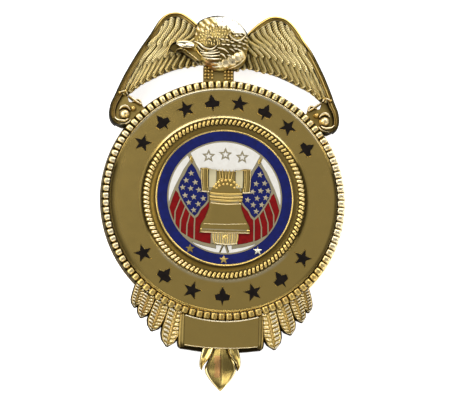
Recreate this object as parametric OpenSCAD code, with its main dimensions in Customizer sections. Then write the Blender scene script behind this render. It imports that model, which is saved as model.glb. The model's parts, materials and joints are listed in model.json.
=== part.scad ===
// Eagle-topped security shield badge, lying on its back with its face up.
// Millimetres: +X to the right of the face, +Y to the eagle, +Z out of the face.
// The whole badge is domed to one large sphere, so most places are given as
// a point on the face and a depth of metal above the domed back there.

/* [Shield] */
// Diameter of the round shield over its fluted border
shield_d = 57.2; // [56.6:0.1:57.8]
// Radius of the sphere that the badge is domed to
dome_r = 210; // [190:5:260]
// Depth of metal under the fluted border
border_t = 1.1; // [0.9:0.05:1.3]
// Depth of metal over the tops of the flutes
flute_t = 1.8; // [1.6:0.05:1.9]
// Number of flutes in the border
flute_count = 96; // [84:4:104]
// Depth of metal at the plain ring panel
panel_t = 2.1; // [2:0.05:2.3]
// Outer radius of the plain ring panel
panel_outer = 26.4; // [26.2:0.05:26.5]
// Inner radius of the plain ring panel
panel_inner = 19; // [18.9:0.05:19.1]
// Number of strands in the inner corded border
cord_count = 100; // [92:4:108]
// Depth of metal over the corded border
cord_t = 2.5; // [2.3:0.05:2.6]

/* [Eagle] */
// Height of the wing tops above the middle of the shield
wing_top = 44.2; // [44:0.1:44.4]
// Depth of the plain plate under the feathers
wing_t = 1.1; // [0.9:0.05:1.3]
// Depth of metal over the plain rim of each wing
rim_t = 2.5; // [2.3:0.1:2.7]
// Depth of metal over the eagle's head
head_t = 4.6; // [4.3:0.1:4.9]

/* [Foot] */
// Distance from the middle of the shield down to the tip of the drop
drop_tip = 44.2; // [44:0.1:44.4]
// Width of the blank name plate's face
plate_w = 17; // [16.4:0.2:17.4]
// Depth of metal at the name plate's face
plate_t = 2.4; // [2.2:0.1:2.6]
// Depth of metal over the vanes of the feather fans
vane_t = 1.6; // [1.4:0.1:1.8]

/* [Medallion] */
// Diameter of the medallion
seal_d = 32; // [31.8:0.1:32.1]
// Depth of the medallion's disc
seal_t = 1.2; // [1.1:0.05:1.4]
// Depth of the cells that hold its enamel
cell_t = 0.5; // [0.3:0.05:0.7]
// Width of the thin metal lines between two colours
line_w = 0.3; // [0.24:0.02:0.34]
// Gap around every piece of enamel
gap = 0.03; // [0.02:0.01:0.04]

/* [Marks] */
// Depth of the sunk enamel marks in the ring panel
mark_t = 0.6; // [0.4:0.1:0.8]
// Radius of the circle that the marks stand on
mark_r = 22.7; // [22.5:0.1:22.9]
// Height of a mark, across the panel
mark_h = 4.4; // [4:0.1:4.6]

/* [Pin] */
// Distance between the pin's two feet
pin_span = 34; // [30:1:38]
// Diameter of the pin's stem
pin_d = 1.1; // [0.9:0.1:1.2]

/* [Hidden] */
shield_r = shield_d / 2;
seal_r = seal_d / 2;
wing_peak = [11.5, wing_top];
under = 0.1;
sag = 0.12;
crown = shield_r * shield_r / (2 * dome_r);
lift = wing_peak * wing_peak / (2 * dome_r) - crown - under + sag;
seat_z = lift + crown + 1;
seal_z = seat_z + gap;
enamel_z = seal_z + seal_t - cell_t + gap;

// Angles from straight up of the marks on the upper and the lower arc
upper_marks = [-57, -40, -24, -8, 8, 24, 40, 57];
lower_marks = [126, 144, 162, 180, 198, 216, 234];
mark_angles = concat(upper_marks, lower_marks);
mark_count = len(mark_angles);
stripe_count = 5;
star_count = 3;

// Wings: outline of the right wing's plate, from the head round by the outer edge
wing_outline = [
    [3, 38], [5.4, 39.9], [8.4, 42.7], wing_peak, [14.4, 43.3], [17.1, 40.3], [20.2, 35.5],
    [23.2, 30], [25.4, 25.2], [26.8, 20.4], [26.2, 17.2], [23.4, 15.2], [17, 19],
    [19.5, 22.4], [20.6, 23.9], [21.7, 23.3], [23.2, 24.2], [20.6, 26.8], [16.4, 28.7],
    [12, 30.6], [7.5, 31.6], [3, 31.4]
];
// Plain rim of the right wing and its scrolled end: x, y, half width, depth
wing_rim = [
    [3.6, 38.3, 0.6, 1.9], [5.8, 39.5, 0.6, rim_t], [8.7, 42.1, 0.6, rim_t], [11.5, 43.5, 0.7, rim_t],
    [14, 42.6, 0.7, rim_t], [16.6, 39.8, 0.7, rim_t], [19.6, 35.1, 0.8, rim_t], [22.5, 29.7, 0.9, rim_t],
    [24.6, 25, 1, rim_t], [25.6, 21.6, 1.1, rim_t], [25.7, 19, 1.1, rim_t], [24.8, 17.3, 0.9, rim_t],
    [23.2, 17.1, 0.7, rim_t], [22.1, 18.2, 0.6, rim_t], [22.1, 20, 0.6, rim_t], [23.2, 21.3, 0.7, rim_t],
    [24.3, 20.6, 0.5, rim_t], [24, 19.4, 0.3, rim_t]
];
// Straight ridge on the inner side of the right wing's end
wing_bar = [[22.5, 23.7, 0.45, 1.9], [21.1, 22.6, 0.5, 2.1], [19.4, 21.6, 0.4, 1.9]];
// Feathers of the right wing in three rows from the lower edge up:
// x and y of the tip, length, half width, depth
wing_feathers = [
    [5.1, 31.7, 3.2, 1.1, 1.4], [8.4, 31.3, 4.6, 1.2, 1.5], [11.6, 30.7, 5.2, 1.3, 1.6],
    [14.5, 29.8, 5.6, 1.3, 1.6], [17.2, 28.7, 5.6, 1.3, 1.6], [19.8, 27.4, 5.4, 1.3, 1.6],
    [22.2, 25.7, 5, 1.2, 1.6], [7.5, 34.3, 4.6, 1.2, 1.9], [10.6, 33.6, 5, 1.3, 1.9],
    [13.6, 32.5, 5.2, 1.3, 1.9], [16.5, 31, 5.2, 1.3, 1.9], [19.3, 29, 5, 1.2, 1.9],
    [21.6, 27, 4.6, 1, 1.9], [8.7, 38.1, 3.8, 1.2, 2.2], [11.8, 37.3, 4.6, 1.3, 2.3],
    [14.9, 35.9, 5, 1.3, 2.3], [17.6, 33.7, 4.8, 1.2, 2.3], [20, 31.2, 4.2, 1, 2.2]
];
feather_lean = 132;

// Eagle's head, turned to the left: middle and half sizes of the mass under it
head_at = [-1.3, 37.2];
head_half = [6.2, 6];
skull_at = [-3.2, 37.9];
upper_beak = [
    [-5.6, 36.2, 1.3, 4.3], [-7.6, 36.6, 1.1, 4.2], [-9.8, 36.9, 0.9, 3.9], [-11.7, 36.4, 0.7, 3.4],
    [-12.3, 34.7, 0.2, 2.8]
];
lower_beak = [[-5.8, 33.2, 0.9, 3.4], [-8.1, 34.1, 0.7, 3.2], [-10.4, 35.1, 0.3, 2.8]];
cheek = [[-7, 37, 0.35, 4.7], [-5.2, 35.4, 0.4, 5], [-2.2, 35.2, 0.3, 4.9]];
// Tips of the long feathers on the crown and the nape
nape_tips = [
    [-6.6, 41.2], [-5.2, 42.3], [-3.6, 43], [-1.7, 43.3], [0.2, 43.2], [2.2, 42.5], [3.9, 41.4],
    [5.1, 39.9]
];
// Beaded block between the head and the border: left, right, lowest and highest
neck_box = [-5.2, 1.9, 27.6, 32];

// Foot: each feather of the right fan from outside in: root x, y, tip x, y, half width
fan_feathers = [
    [19.2, -19.4, 20.4, -25.9, 1.4], [17, -21.6, 19.1, -28.4, 1.6], [13.9, -23.6, 16.3, -31.3, 1.9],
    [10.3, -25.2, 12.6, -34.7, 2.2]
];
fan_plate = [
    [18, -18], [20.2, -20.6], [20.3, -23.4], [18, -26.2], [15.4, -28.4], [12, -30.8], [9, -31.5],
    [8, -26]
];
plate_low = -35.7;
plate_side = 1.5;
drop_rows = [
    [0, -34.4, 2.4, 2], [0, -37, 2.9, 2.3], [0, -39.4, 3.7, 2.3], [0, -41.3, 2.8, 2], [0, -43.1, 1.3, 1.5],
    [0, -drop_tip, 0.15, 1]
];
drop_ear = [[2.8, -34.4, 1, 1.7], [3.6, -36.2, 1, 1.8], [4.1, -38, 0.7, 1.6], [4.1, -39.4, 0.2, 1.1]];

// Medallion: radii of its bands
blue_outer = seal_r - 0.4;
blue_inner = 13.3;
field_r = 13;
// Right-hand flag: its starred corner, its whole outline and the lines between its stripes
canton_rows = [
    [7.8, 8.1], [9.5, 5.2], [11, 2], [9.4, -1.7], [6.9, -4.9], [5.5, -2.9], [3.8, -0.9], [4.2, 1.6],
    [5.9, 4.7]
];
canton_at = [7.3, 1.6];
flag_rows = [
    [7.8, 8.1], [9.6, 5.2], [11.2, 1.8], [12, -0.3], [12.8, -3], [12.5, -4.8], [11.4, -6.8],
    [10, -8.4], [7.6, -9.8], [5, -10.6], [2.4, -11.1], [2.4, -5], [3.6, -0.9], [4, 1.6], [5.8, 4.7]
];
flag_at = [8, -2.5];
stripe_lines = [
    [[16, 6], [16, -4], [16, -14]],
    [[10, 0], [11.4, -3.7], [11.6, -14]],
    [[8.6, -1], [10.1, -5.6], [10.4, -14]],
    [[7.6, -2.5], [8.6, -6.7], [8.7, -14]],
    [[6.8, -3.5], [6.9, -7], [6.9, -14]],
    [[1, 2], [1, -7], [1, -14]]
];
// Bell and its headstock, right half from the top down: x, y
bell_half = [
    [0, 4.6], [1.8, 3.8], [3.1, 2.4], [3.6, 1.2], [3.6, -2.4], [4.5, -4.9], [5.5, -6.6],
    [5.7, -8.4], [3.1, -8.4], [3.1, -11.1], [0, -11.2]
];
yoke_half = [[0, 5.9], [2, 6.1], [4.4, 6.8], [5.8, 6.7], [5.2, 1.3], [3.4, 1.3], [0, 1.3]];
field_stars = [[-3.9, 9.6], [0, 10.1], [3.9, 9.6]];
ring_stars = [[-7.8, -12.2], [0, -14.5], [7.8, -12.2]];
star_r = 1.6;
finial = [8.3, 9.6];
staff_foot = [1.05, -12.8];

// Height of the domed back above the surface that the badge lies on
function back(x, y) = lift + crown - (x * x + y * y) / (2 * dome_r);

// A point of relief: a place on the face and the depth of metal there
function relief(x, y, depth) = [x, y, back(x, y) + depth];

// A smooth curve through a list of rows, open or closed
function blend(a, b, c, d, t) =
    (2 * b + (c - a) * t + (2 * a - 5 * b + 4 * c - d) * t * t + (3 * b - a - 3 * c + d) * t * t * t) / 2;
function open_curve(rows, steps) = let (n = len(rows)) concat(
    [for (i = [0 : n - 2], k = [0 : steps - 1])
        blend(rows[max(i - 1, 0)], rows[i], rows[i + 1], rows[min(i + 2, n - 1)], k / steps)],
    [rows[n - 1]]
);
function closed_curve(rows, steps) = let (n = len(rows))
    [for (i = [0 : n - 1], k = [0 : steps - 1])
        blend(rows[(i + n - 1) % n], rows[i], rows[(i + 1) % n], rows[(i + 2) % n], k / steps)];

function place(row) = [row[0], row[1]];
function across(rows, i) = let (d = place(rows[min(i + 1, len(rows) - 1)]) - place(rows[max(i - 1, 0)]))
    [-d[1], d[0]] / norm(d);
function polar(r, angle) = [r * sin(angle), r * cos(angle)];
function star_points(r, inner) =
    [for (k = [0 : 9]) (k % 2 == 0 ? r : r * inner) * [sin(k * 36), cos(k * 36)]];

// Solid through a list of rings that all have the same number of points
module sweep(rings) {
    n = len(rings[0]);
    last = len(rings) - 1;
    sides = [
        for (i = [0 : last - 1], j = [0 : n - 1])
        [i * n, (i + 1) * n, j, (j + 1) % n]
    ];
    polyhedron(
        points = [for (ring = rings, p = ring) p],
        faces = concat(
            [[for (j = [0 : n - 1]) j]],
            [for (s = sides) [s[0] + s[2], s[1] + s[2], s[1] + s[3]]],
            [for (s = sides) [s[0] + s[2], s[1] + s[3], s[0] + s[3]]],
            [[for (j = [n - 1 : -1 : 0]) last * n + j]]
        )
    );
}

// Sections across a raised band: how far out, and how far up from edge to crown
round_section = [[-1, 0], [-0.55, 0.8], [0.55, 0.8], [1, 0]];
roof_section = [[-1, 0], [0, 1], [1, 0]];
vane_section = [[-1, 0], [-0.5, 1], [0, 0.4], [0.5, 1], [1, 0]];

// Raised band along rows of x, y, half width and depth at the crown
module band(rows, section, base, edge) {
    sweep([
        for (i = [0 : len(rows) - 1])
        let (p = place(rows[i]), side = across(rows, i) * rows[i][2], rise = rows[i][3] - edge)
        concat(
            [let (q = p + side) relief(q[0], q[1], base)],
            [for (s = section) let (q = p - side * s[0]) relief(q[0], q[1], edge + rise * s[1])],
            [let (q = p - side) relief(q[0], q[1], base)]
        )
    ]);
}

// Rounded mound standing on the domed back
module mound(at, half, depth, sides) {
    translate(relief(at[0], at[1], under))
    rotate(atan(norm(at) / dome_r), [-at[1], at[0], 0])
    scale([half[0], half[1], depth - under])
    rotate_extrude($fn = sides)
    polygon([[0, 0], [1, 0], [0.9, 0.5], [0.5, 0.9], [0, 1]]);
}

// Domed sheet between two depths, clipped to an outline
module domed_plate(bottom, top) {
    radii = [12, 22, 31, 39, 48];
    intersection() {
        translate([0, 0, -5])
        linear_extrude(20)
        children();
        rotate_extrude($fn = 36)
        polygon(concat(
            [for (r = radii) [r, back(r, 0) + bottom]],
            [for (i = [len(radii) - 1 : -1 : 0]) [radii[i], back(radii[i], 0) + top]]
        ));
    }
}

module both_sides() {
    children();
    mirror([1, 0, 0])
    children();
}

// Round shield: seat for the medallion, plain ring panel and border
module shield_blank() {
    wall = 0.3;
    sides = flute_count / 2;
    seat_r = (seal_r + gap) / cos(180 / sides);
    rotate_extrude($fn = sides)
    polygon([
        [0, lift + crown],
        [10, back(10, 0)],
        [20, back(20, 0)],
        [shield_r, back(shield_r, 0)],
        [shield_r, back(shield_r, 0) + border_t],
        [panel_outer + wall, back(panel_outer, 0) + border_t],
        [panel_outer, back(panel_outer, 0) + panel_t],
        [panel_inner, back(panel_inner, 0) + panel_t],
        [panel_inner - wall, back(panel_inner, 0) + border_t + 0.5],
        [seat_r, back(seal_r, 0) + border_t + 0.5],
        [seat_r, seat_z],
        [0, seat_z]
    ]);
}

// One bar of the fluted border
module flute(angle) {
    foot_w = 0.68;
    head_w = 0.4;
    low = border_t - 0.4;
    hull()
    sweep([
        for (r = [panel_outer + 0.4, shield_r - 0.15])
        let (c = polar(r, angle), side = [cos(angle), -sin(angle)])
        [for (s = [[-foot_w, low], [-head_w, flute_t], [head_w, flute_t], [foot_w, low]])
            relief(c[0] + side[0] * s[0], c[1] + side[1] * s[0], s[1])]
    ]);
}

// One slanted strand of the inner corded border
module strand(angle) {
    slant = 1.6;
    half = 0.46;
    hull()
    sweep([
        for (end = [[seal_r + 1.3, -slant], [panel_inner - 0.35, slant]])
        let (c = polar(end[0], angle + end[1]), side = [cos(angle), -sin(angle)])
        [for (s = [[-half, 1.3], [0, cord_t], [half, 1.3]])
            relief(c[0] + side[0] * s[0], c[1] + side[1] * s[0], s[1])]
    ]);
}

// Feather of a wing, from its root under the row above down to its tip
module wing_feather(row) {
    tip = place(row);
    root = tip + row[2] * [cos(feather_lean), sin(feather_lean)];
    belly = tip * 0.62 + root * 0.38 - 0.35 * [sin(feather_lean), -cos(feather_lean)];
    stations = [
        [root[0], root[1], row[3] * 0.8, row[4] - 0.5],
        [belly[0], belly[1], row[3], row[4]],
        [tip[0], tip[1], row[3] * 0.3, row[4] - 0.3]
    ];
    band(stations, roof_section, 0.3, wing_t - 0.2);
}

module wing() {
    domed_plate(under, wing_t)
    polygon(closed_curve(wing_outline, 2));
    band(wing_rim, round_section, 0.3, wing_t);
    band(wing_bar, roof_section, 0.3, wing_t);
    mound([20.6, 23], [0.9, 0.9], 2, 10);
    mound([23.6, 19.2], [0.8, 0.8], 2.9, 10);
    for (row = wing_feathers)
        wing_feather(row);
}

// Eagle's head with its beak, cheek, eye and long nape feathers
module head() {
    mound(head_at, head_half, head_t - 1, 20);
    mound(skull_at, [3.8, 3.4], head_t, 16);
    mound([1.8, 33.6], [3, 2.6], head_t - 1, 12);
    mound([-3.9, 37.5], [0.7, 0.6], head_t + 0.4, 8);
    band(upper_beak, round_section, 0.5, 2);
    band(lower_beak, roof_section, 0.5, 2);
    band(cheek, roof_section, 0.5, head_t - 1.2);
    for (tip = nape_tips) {
        root = (tip + head_at) / 2;
        mid = (root + 2 * tip) / 3;
        rows = [concat(root, 0.8, head_t), concat(mid, 1.15, head_t - 0.9), concat(tip, 0.5, head_t - 2.2)];
        band(rows, roof_section, 0.5, 1.5);
    }
}

// Beaded block that joins the eagle to the border
module neck() {
    left = neck_box[0];
    right = neck_box[1];
    domed_plate(under, 1.7)
    polygon([[left, neck_box[2]], [left, neck_box[3]], [right, neck_box[3]], [right, neck_box[2]]]);
    for (x = [left + 0.6, left + 1.7, right - 1.7, right - 0.6], y = [28.8, 29.9, 31])
        mound([x, y], [0.5, 0.5], 2.2, 6);
}

// Four ribbed feathers under each side of the border
module fan() {
    domed_plate(under, 0.8)
    polygon(fan_plate);
    for (row = fan_feathers) {
        root = [row[0], row[1]];
        tip = [row[2], row[3]];
        stations = [for (s = [[0, 0.75, -0.3], [0.35, 1, 0], [0.6, 1, 0], [0.82, 0.72, 0], [1, 0.1, -0.6]])
            let (p = root + (tip - root) * s[0]) [p[0], p[1], row[4] * s[1], vane_t + s[2]]];
        band(stations, vane_section, 0.2, 0.8);
    }
}

// Blank name plate, bent back along both sides
module name_plate() {
    half = plate_w / 2;
    sweep([
        for (x = [-half - plate_side, -half, -half / 2, 0, half / 2, half, half + plate_side])
        let (
            high = -sqrt(pow(shield_r + 0.1, 2) - min(x * x, half * half)),
            low = plate_low + x * x / 110,
            top = abs(x) > half ? wing_t : plate_t
        )
        [relief(x, high + 1, under), relief(x, high + (abs(x) > half ? 1 : 0), top),
            relief(x, low + 0.5, top), relief(x, low, under)]
    ]);
}

// Pointed drop with its two curled ears
module drop() {
    band(drop_rows, roof_section, under, 1);
    both_sides()
    band(open_curve(drop_ear, 2), roof_section, under, 0.9);
}

module badge_body() {
    color("goldenrod")
    difference() {
        union() {
            shield_blank();
            for (i = [0 : flute_count - 1])
                flute(i * 360 / flute_count);
            for (i = [0 : cord_count - 1])
                strand(i * 360 / cord_count);
            both_sides()
            wing();
            head();
            neck();
            both_sides()
            fan();
            name_plate();
            drop();
        }
        for (i = [0 : mark_count - 1])
            mark_place(i)
            linear_extrude(4)
            mark_shape(i, 0);
    }
}

// Moves a flat mark to its place on the sloping panel, at the floor of its recess
module mark_place(i) {
    at = polar(mark_r, mark_angles[i]);
    translate(relief(at[0], at[1], panel_t - mark_t))
    rotate(atan(mark_r / dome_r), [-at[1], at[0], 0])
    rotate(i < len(upper_marks) ? -mark_angles[i] : 180 - mark_angles[i])
    children();
}

// A star or a sprig of three leaves, smaller all round by the inset
module mark_shape(i, inset) {
    if (i % 2 == 0)
        polygon(star_points(mark_h / 2 - 3.3 * inset, 0.42));
    else
        scale(1 - inset / 0.6)
        polygon(sprig_points());
}

function sprig_points() = let (
    h = mark_h / 2,
    leaf = [[0.28, -h * 0.5], [1.6, -h * 0.42], [1.85, h * 0.1], [0.72, h * 0.28], [0.62, h * 0.5]],
    half = concat([[0, -h]], leaf, [[0, h]])
) concat(half, [for (k = [len(half) - 2 : -1 : 1]) [-half[k][0], half[k][1]]]);

module black_mark(i) {
    color("black")
    mark_place(i)
    translate([0, 0, gap])
    linear_extrude(mark_t - 2 * gap)
    mark_shape(i, gap);
}

// Flat outline moved out or in a little about its middle
module grown(rows, at, by) {
    translate(at)
    scale(1 + by / 3)
    translate(-at)
    polygon(rows);
}

module mirrored_half(half) {
    polygon(concat(half, [for (k = [len(half) - 1 : -1 : 0]) [-half[k][0], half[k][1]]]));
}

// Everything that stays metal inside the white field
module field_figures(by) {
    grown_half = 1 + by / 6;
    scale(grown_half)
    mirrored_half(bell_half);
    scale(grown_half)
    mirrored_half(yoke_half);
    both_sides() {
        grown(flag_rows, flag_at, line_w + by);
        translate(finial)
        rotate(-28)
        translate([-0.4 - by, -2.2])
        square([0.8 + 2 * by, 2.6 + by]);
        staff_leg(by);
    }
    for (at = field_stars)
        translate(at)
        polygon(star_points(star_r + 2 * by, 0.45));
}

// End of a flag's staff under the bell
module staff_leg(by) {
    polygon([[-0.15 - by, -10.6], [0.25 + by, -10.6], [staff_foot[0] + 0.25 + by, staff_foot[1] - 0.6],
        [staff_foot[0] - 0.15 - by, staff_foot[1] - 0.6]]);
}

// The cells of the medallion, smaller all round by the inset
module ring_cell(inset) {
    difference() {
        circle(blue_outer - inset, $fn = 96);
        circle(blue_inner + inset, $fn = 96);
        for (i = [0 : star_count - 1])
            translate(ring_stars[i])
            polygon(star_points(1.1 + 2 * inset, 0.45));
    }
}

module white_cell(inset) {
    difference() {
        circle(field_r - inset, $fn = 96);
        field_figures(inset);
        translate([-field_r, -2 * field_r - 1.5])
        square([2 * field_r, 2 * field_r]);
    }
}

module star_cell(i, inset) {
    translate(field_stars[i - 1])
    polygon(star_points(star_r - 2.4 * line_w - 2 * inset, 0.45));
}

// Left, middle and right piece of the white field, parted by the staffs' tips
module white_part(i, inset) {
    edges = [-field_r, 0.14 - finial[0], finial[0] - 0.14, field_r];
    intersection() {
        white_cell(inset);
        translate([edges[i - 1], -field_r])
        square([edges[i] - edges[i - 1], 2 * field_r]);
    }
}

// Each third of the white crescent below the bell, parted by the staffs' ends
module foot_cell(i, inset) {
    root = [0.05, -10.6];
    tip = staff_foot + [0.05, -0.6];
    right = [root, [9, root[1]], [9, tip[1]], tip];
    left = [for (k = [3 : -1 : 0]) [-right[k][0], right[k][1]]];
    middle = [root, tip, [-tip[0], tip[1]], [-root[0], root[1]]];
    difference() {
        intersection() {
            circle(field_r - inset, $fn = 96);
            polygon([left, middle, right][i - 1]);
        }
        field_figures(inset);
    }
}

module canton_cell(inset) {
    grown(closed_curve(canton_rows, 2), canton_at, -line_w / 2 - inset);
}

module stripe_cell(i, inset) {
    side = line_w / 2 + inset;
    edge_a = [for (p = stripe_lines[i - 1]) p - [side, 0]];
    edge_b = [for (k = [2 : -1 : 0]) stripe_lines[i][k] + [side, 0]];
    difference() {
        intersection() {
            grown(flag_rows, flag_at, -inset);
            polygon(concat(edge_a, edge_b));
            circle(field_r - inset, $fn = 96);
        }
        grown(closed_curve(canton_rows, 2), canton_at, line_w / 2 + inset);
        scale(1 + inset / 6)
        mirrored_half(bell_half);
    }
}

// Struck medallion: a disc with raised lines, a bell, flags and stars
module seal_disc() {
    color("gold") {
        difference() {
            translate([0, 0, seal_z])
            cylinder(h = seal_t, r = seal_r - gap, $fn = 96);
            translate([0, 0, seal_z + seal_t - cell_t])
            linear_extrude(2) {
                ring_cell(0);
                white_cell(0);
                for (i = [1 : star_count]) {
                    star_cell(i, 0);
                    foot_cell(i, 0);
                }
                both_sides() {
                    canton_cell(0);
                    for (i = [1 : stripe_count])
                        stripe_cell(i, 0);
                }
            }
        }
        bell();
    }
}

// Low relief of the bell and its headstock on the disc
module bell() {
    top = seal_z + seal_t;
    translate([0, 0, top - 0.1])
    linear_extrude(0.3)
    scale(0.97)
    mirrored_half(bell_half);
    for (y = [-0.9, 0.6])
        translate([-3.3, y - 0.25, top])
        cube([6.6, 0.5, 0.35]);
    translate([-5.2, -8.1, top])
    cube([10.4, 0.6, 0.35]);
    both_sides()
    translate([3, 1.5, top - 0.1])
    cube([0.8, 4.8, 0.35]);
}

module enamel(colour) {
    color(colour)
    translate([0, 0, enamel_z])
    linear_extrude(cell_t - gap)
    children();
}

module on_side(side) {
    mirror([side == "left" ? 1 : 0, 0, 0])
    children();
}

// Plain pin on the back: two feet and the stem between them, in one piece
module back_pin() {
    stem_z = lift + 0.4;
    pin_y = 8;
    color("darkgoldenrod") {
        for (x = [-pin_span / 2, pin_span / 2]) {
            at = [x, pin_y];
            translate(relief(x, pin_y, -gap - 0.08))
            rotate(atan(norm(at) / dome_r), [-at[1], at[0], 0])
            translate([0, 0, -0.6])
            cylinder(h = 0.6, r = 3);
            translate([x - 1.5, pin_y - 1.2, stem_z - 1])
            cube([3, 2.4, back(x, pin_y) - stem_z + 0.6]);
        }
        translate([-pin_span / 2, pin_y, stem_z])
        rotate([0, 90, 0])
        cylinder(h = pin_span, r = pin_d / 2, $fn = 32);
    }
}

badge_body();
back_pin();
seal_disc();
enamel("midnightblue") ring_cell(gap);  // enamel_blue_ring
for (i = [1 : star_count]) {
    enamel("ivory") white_part(i, gap);
    enamel("ivory") star_cell(i, gap);
    enamel("ivory") foot_cell(i, gap);
}
for (side = ["left", "right"]) {
    enamel("navy") on_side(side) canton_cell(gap);
    for (i = [1 : stripe_count])
        enamel("firebrick") on_side(side) stripe_cell(i, gap);
}
for (i = [1 : mark_count])
    black_mark(i - 1);
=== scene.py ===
# %% [markdown]
# # A shield badge with an eagle over it
#
# The badge is struck in gilt brass from one sheet: a round shield with a
# fluted border, an eagle that spreads its wings over it, two fans of
# feathers, a bare name plate and a pointed drop. An enamelled medallion is
# set in the middle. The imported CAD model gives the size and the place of
# everything, so it is loaded first and never changed.

# %% The frame
import json
import math

import bpy
import numpy as np
from mathutils import Matrix, Vector


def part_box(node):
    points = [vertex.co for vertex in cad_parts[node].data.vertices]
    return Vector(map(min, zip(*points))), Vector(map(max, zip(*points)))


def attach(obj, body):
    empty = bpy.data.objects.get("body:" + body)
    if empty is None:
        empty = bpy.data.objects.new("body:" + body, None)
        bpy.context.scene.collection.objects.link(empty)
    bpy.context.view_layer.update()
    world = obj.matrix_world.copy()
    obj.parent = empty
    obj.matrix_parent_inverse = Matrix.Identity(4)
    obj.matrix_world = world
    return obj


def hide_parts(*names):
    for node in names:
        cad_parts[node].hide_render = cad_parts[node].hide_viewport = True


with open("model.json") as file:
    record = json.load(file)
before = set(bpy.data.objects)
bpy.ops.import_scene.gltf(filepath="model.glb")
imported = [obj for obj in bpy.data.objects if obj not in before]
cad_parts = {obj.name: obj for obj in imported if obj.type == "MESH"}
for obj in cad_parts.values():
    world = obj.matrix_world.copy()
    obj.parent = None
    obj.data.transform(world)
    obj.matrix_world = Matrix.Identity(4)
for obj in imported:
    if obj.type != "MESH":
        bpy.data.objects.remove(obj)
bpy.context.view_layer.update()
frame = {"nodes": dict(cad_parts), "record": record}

MM = 0.001

# %% [markdown]
# ## The dome
#
# Die-struck badges are domed a little, so that they follow the chest. Every
# piece here is shaped flat, in millimetres, with its height measured above
# the back of the metal, and is laid on the dome at the end. That keeps the
# numbers the ones that a die maker would write.

# %% Where the dome is
DOME_R = 210.0
SEAT = 1.03
SEAL_THICKNESS = 1.2
DOME_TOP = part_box("seal_disc")[0].z / MM - SEAT
SEAL_FACE = DOME_TOP + SEAT + SEAL_THICKNESS


def back(x, y):
    """Height of the domed back over the floor, in millimetres."""
    return DOME_TOP - (x * x + y * y) / (2 * DOME_R)


print("top of the dome", round(DOME_TOP, 3), "medallion's face", round(SEAL_FACE, 3))

# %% [markdown]
# ## Camera
#
# A badge is photographed from nearly straight above. A long lens stands far
# off, so that the round shield stays round. The direction, the roll and the
# point aimed at come from the slight oval that the shield makes.

# %% Camera
LENS, SENSOR = 200.0, 36.0
PHOTO_WIDTH, PIXELS_PER_MM = 450, 4.3094
SHIELD_R = 28.6
ROLL = 0.0171
AIM_RIGHT, AIM_UP = 0.478, 0.186
NEAREST, FARTHEST = 0.01, 20

toward = Vector((-0.096, -0.1867, 0.9777)).normalized()
right = Vector((toward.z, 0, -toward.x)).normalized()
up = toward.cross(right)
cam_x = right * math.cos(ROLL) + up * math.sin(ROLL)
cam_y = up * math.cos(ROLL) - right * math.sin(ROLL)
aim = Vector((0, 0, back(SHIELD_R, 0))) + cam_x * AIM_RIGHT + cam_y * AIM_UP
distance = LENS / SENSOR * PHOTO_WIDTH / PIXELS_PER_MM

camera_data = bpy.data.cameras.new("camera")
camera_data.lens, camera_data.sensor_width = LENS, SENSOR
camera_data.clip_start, camera_data.clip_end = NEAREST, FARTHEST
camera = bpy.data.objects.new("camera", camera_data)
bpy.context.scene.collection.objects.link(camera)
turn = Matrix((cam_x, cam_y, toward)).transposed().to_4x4()
camera.matrix_world = Matrix.Translation((aim + toward * distance) * MM) @ turn
bpy.context.scene.camera = camera
print("camera stands", round(distance), "mm away")

# %% [markdown]
# ## Working as by hand
#
# An operator acts on all that is selected, and the loaded model comes in
# selected. So each step deselects everything, picks its piece, goes into
# edit mode and comes out again. These helpers keep that order.

# %% Picking a piece and its faces
def deselect():
    if bpy.context.object and bpy.context.object.mode != "OBJECT":
        bpy.ops.object.mode_set(mode="OBJECT")
    bpy.ops.object.select_all(action="DESELECT")


def pick(obj):
    """Selects one object and nothing else."""
    deselect()
    bpy.context.view_layer.objects.active = obj
    obj.select_set(True)
    return obj


def choose(obj, test):
    """Enters edit mode with only those faces selected that pass the test."""
    pick(obj)
    bpy.ops.object.mode_set(mode="EDIT")
    bpy.ops.mesh.select_mode(type="FACE")
    bpy.ops.mesh.select_all(action="DESELECT")
    bpy.ops.object.mode_set(mode="OBJECT")
    for face in obj.data.polygons:
        face.select = bool(test(face))
    bpy.ops.object.mode_set(mode="EDIT")


def whole(obj):
    """Enters edit mode with everything selected."""
    pick(obj)
    bpy.ops.object.mode_set(mode="EDIT")
    bpy.ops.mesh.select_mode(type="FACE")
    bpy.ops.mesh.select_all(action="SELECT")


def done():
    bpy.ops.object.mode_set(mode="OBJECT")


def outward():
    """Turns all faces of the piece in edit mode outwards, and leaves edit mode."""
    bpy.ops.mesh.select_all(action="SELECT")
    bpy.ops.mesh.normals_make_consistent(inside=False)
    done()


print("selected after loading:", len(bpy.context.selected_objects))

# %% [markdown]
# ## Points, modifiers and copies
#
# A hand drags points, and a script reads them all as one table, changes the
# table and puts it back. A modifier is applied as soon as it is added, so
# that the next step works on real points. A copy always gets its own mesh.

# %% Points, modifiers and copies
def points(obj):
    co = np.empty(len(obj.data.vertices) * 3)
    obj.data.vertices.foreach_get("co", co)
    return co.reshape(-1, 3)


def set_points(obj, co):
    obj.data.vertices.foreach_set("co", np.ascontiguousarray(co, float).ravel())
    obj.data.update()


def modify(obj, kind, **settings):
    """Adds a modifier, sets it and applies it."""
    modifier = obj.modifiers.new(kind.lower(), kind)
    for name, value in settings.items():
        setattr(modifier, name, value)
    pick(obj)
    bpy.ops.object.modifier_apply(modifier=modifier.name)
    return obj


def twin(obj):
    """A copy with a mesh of its own."""
    other = obj.copy()
    other.data = obj.data.copy()
    bpy.context.scene.collection.objects.link(other)
    return other


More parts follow.
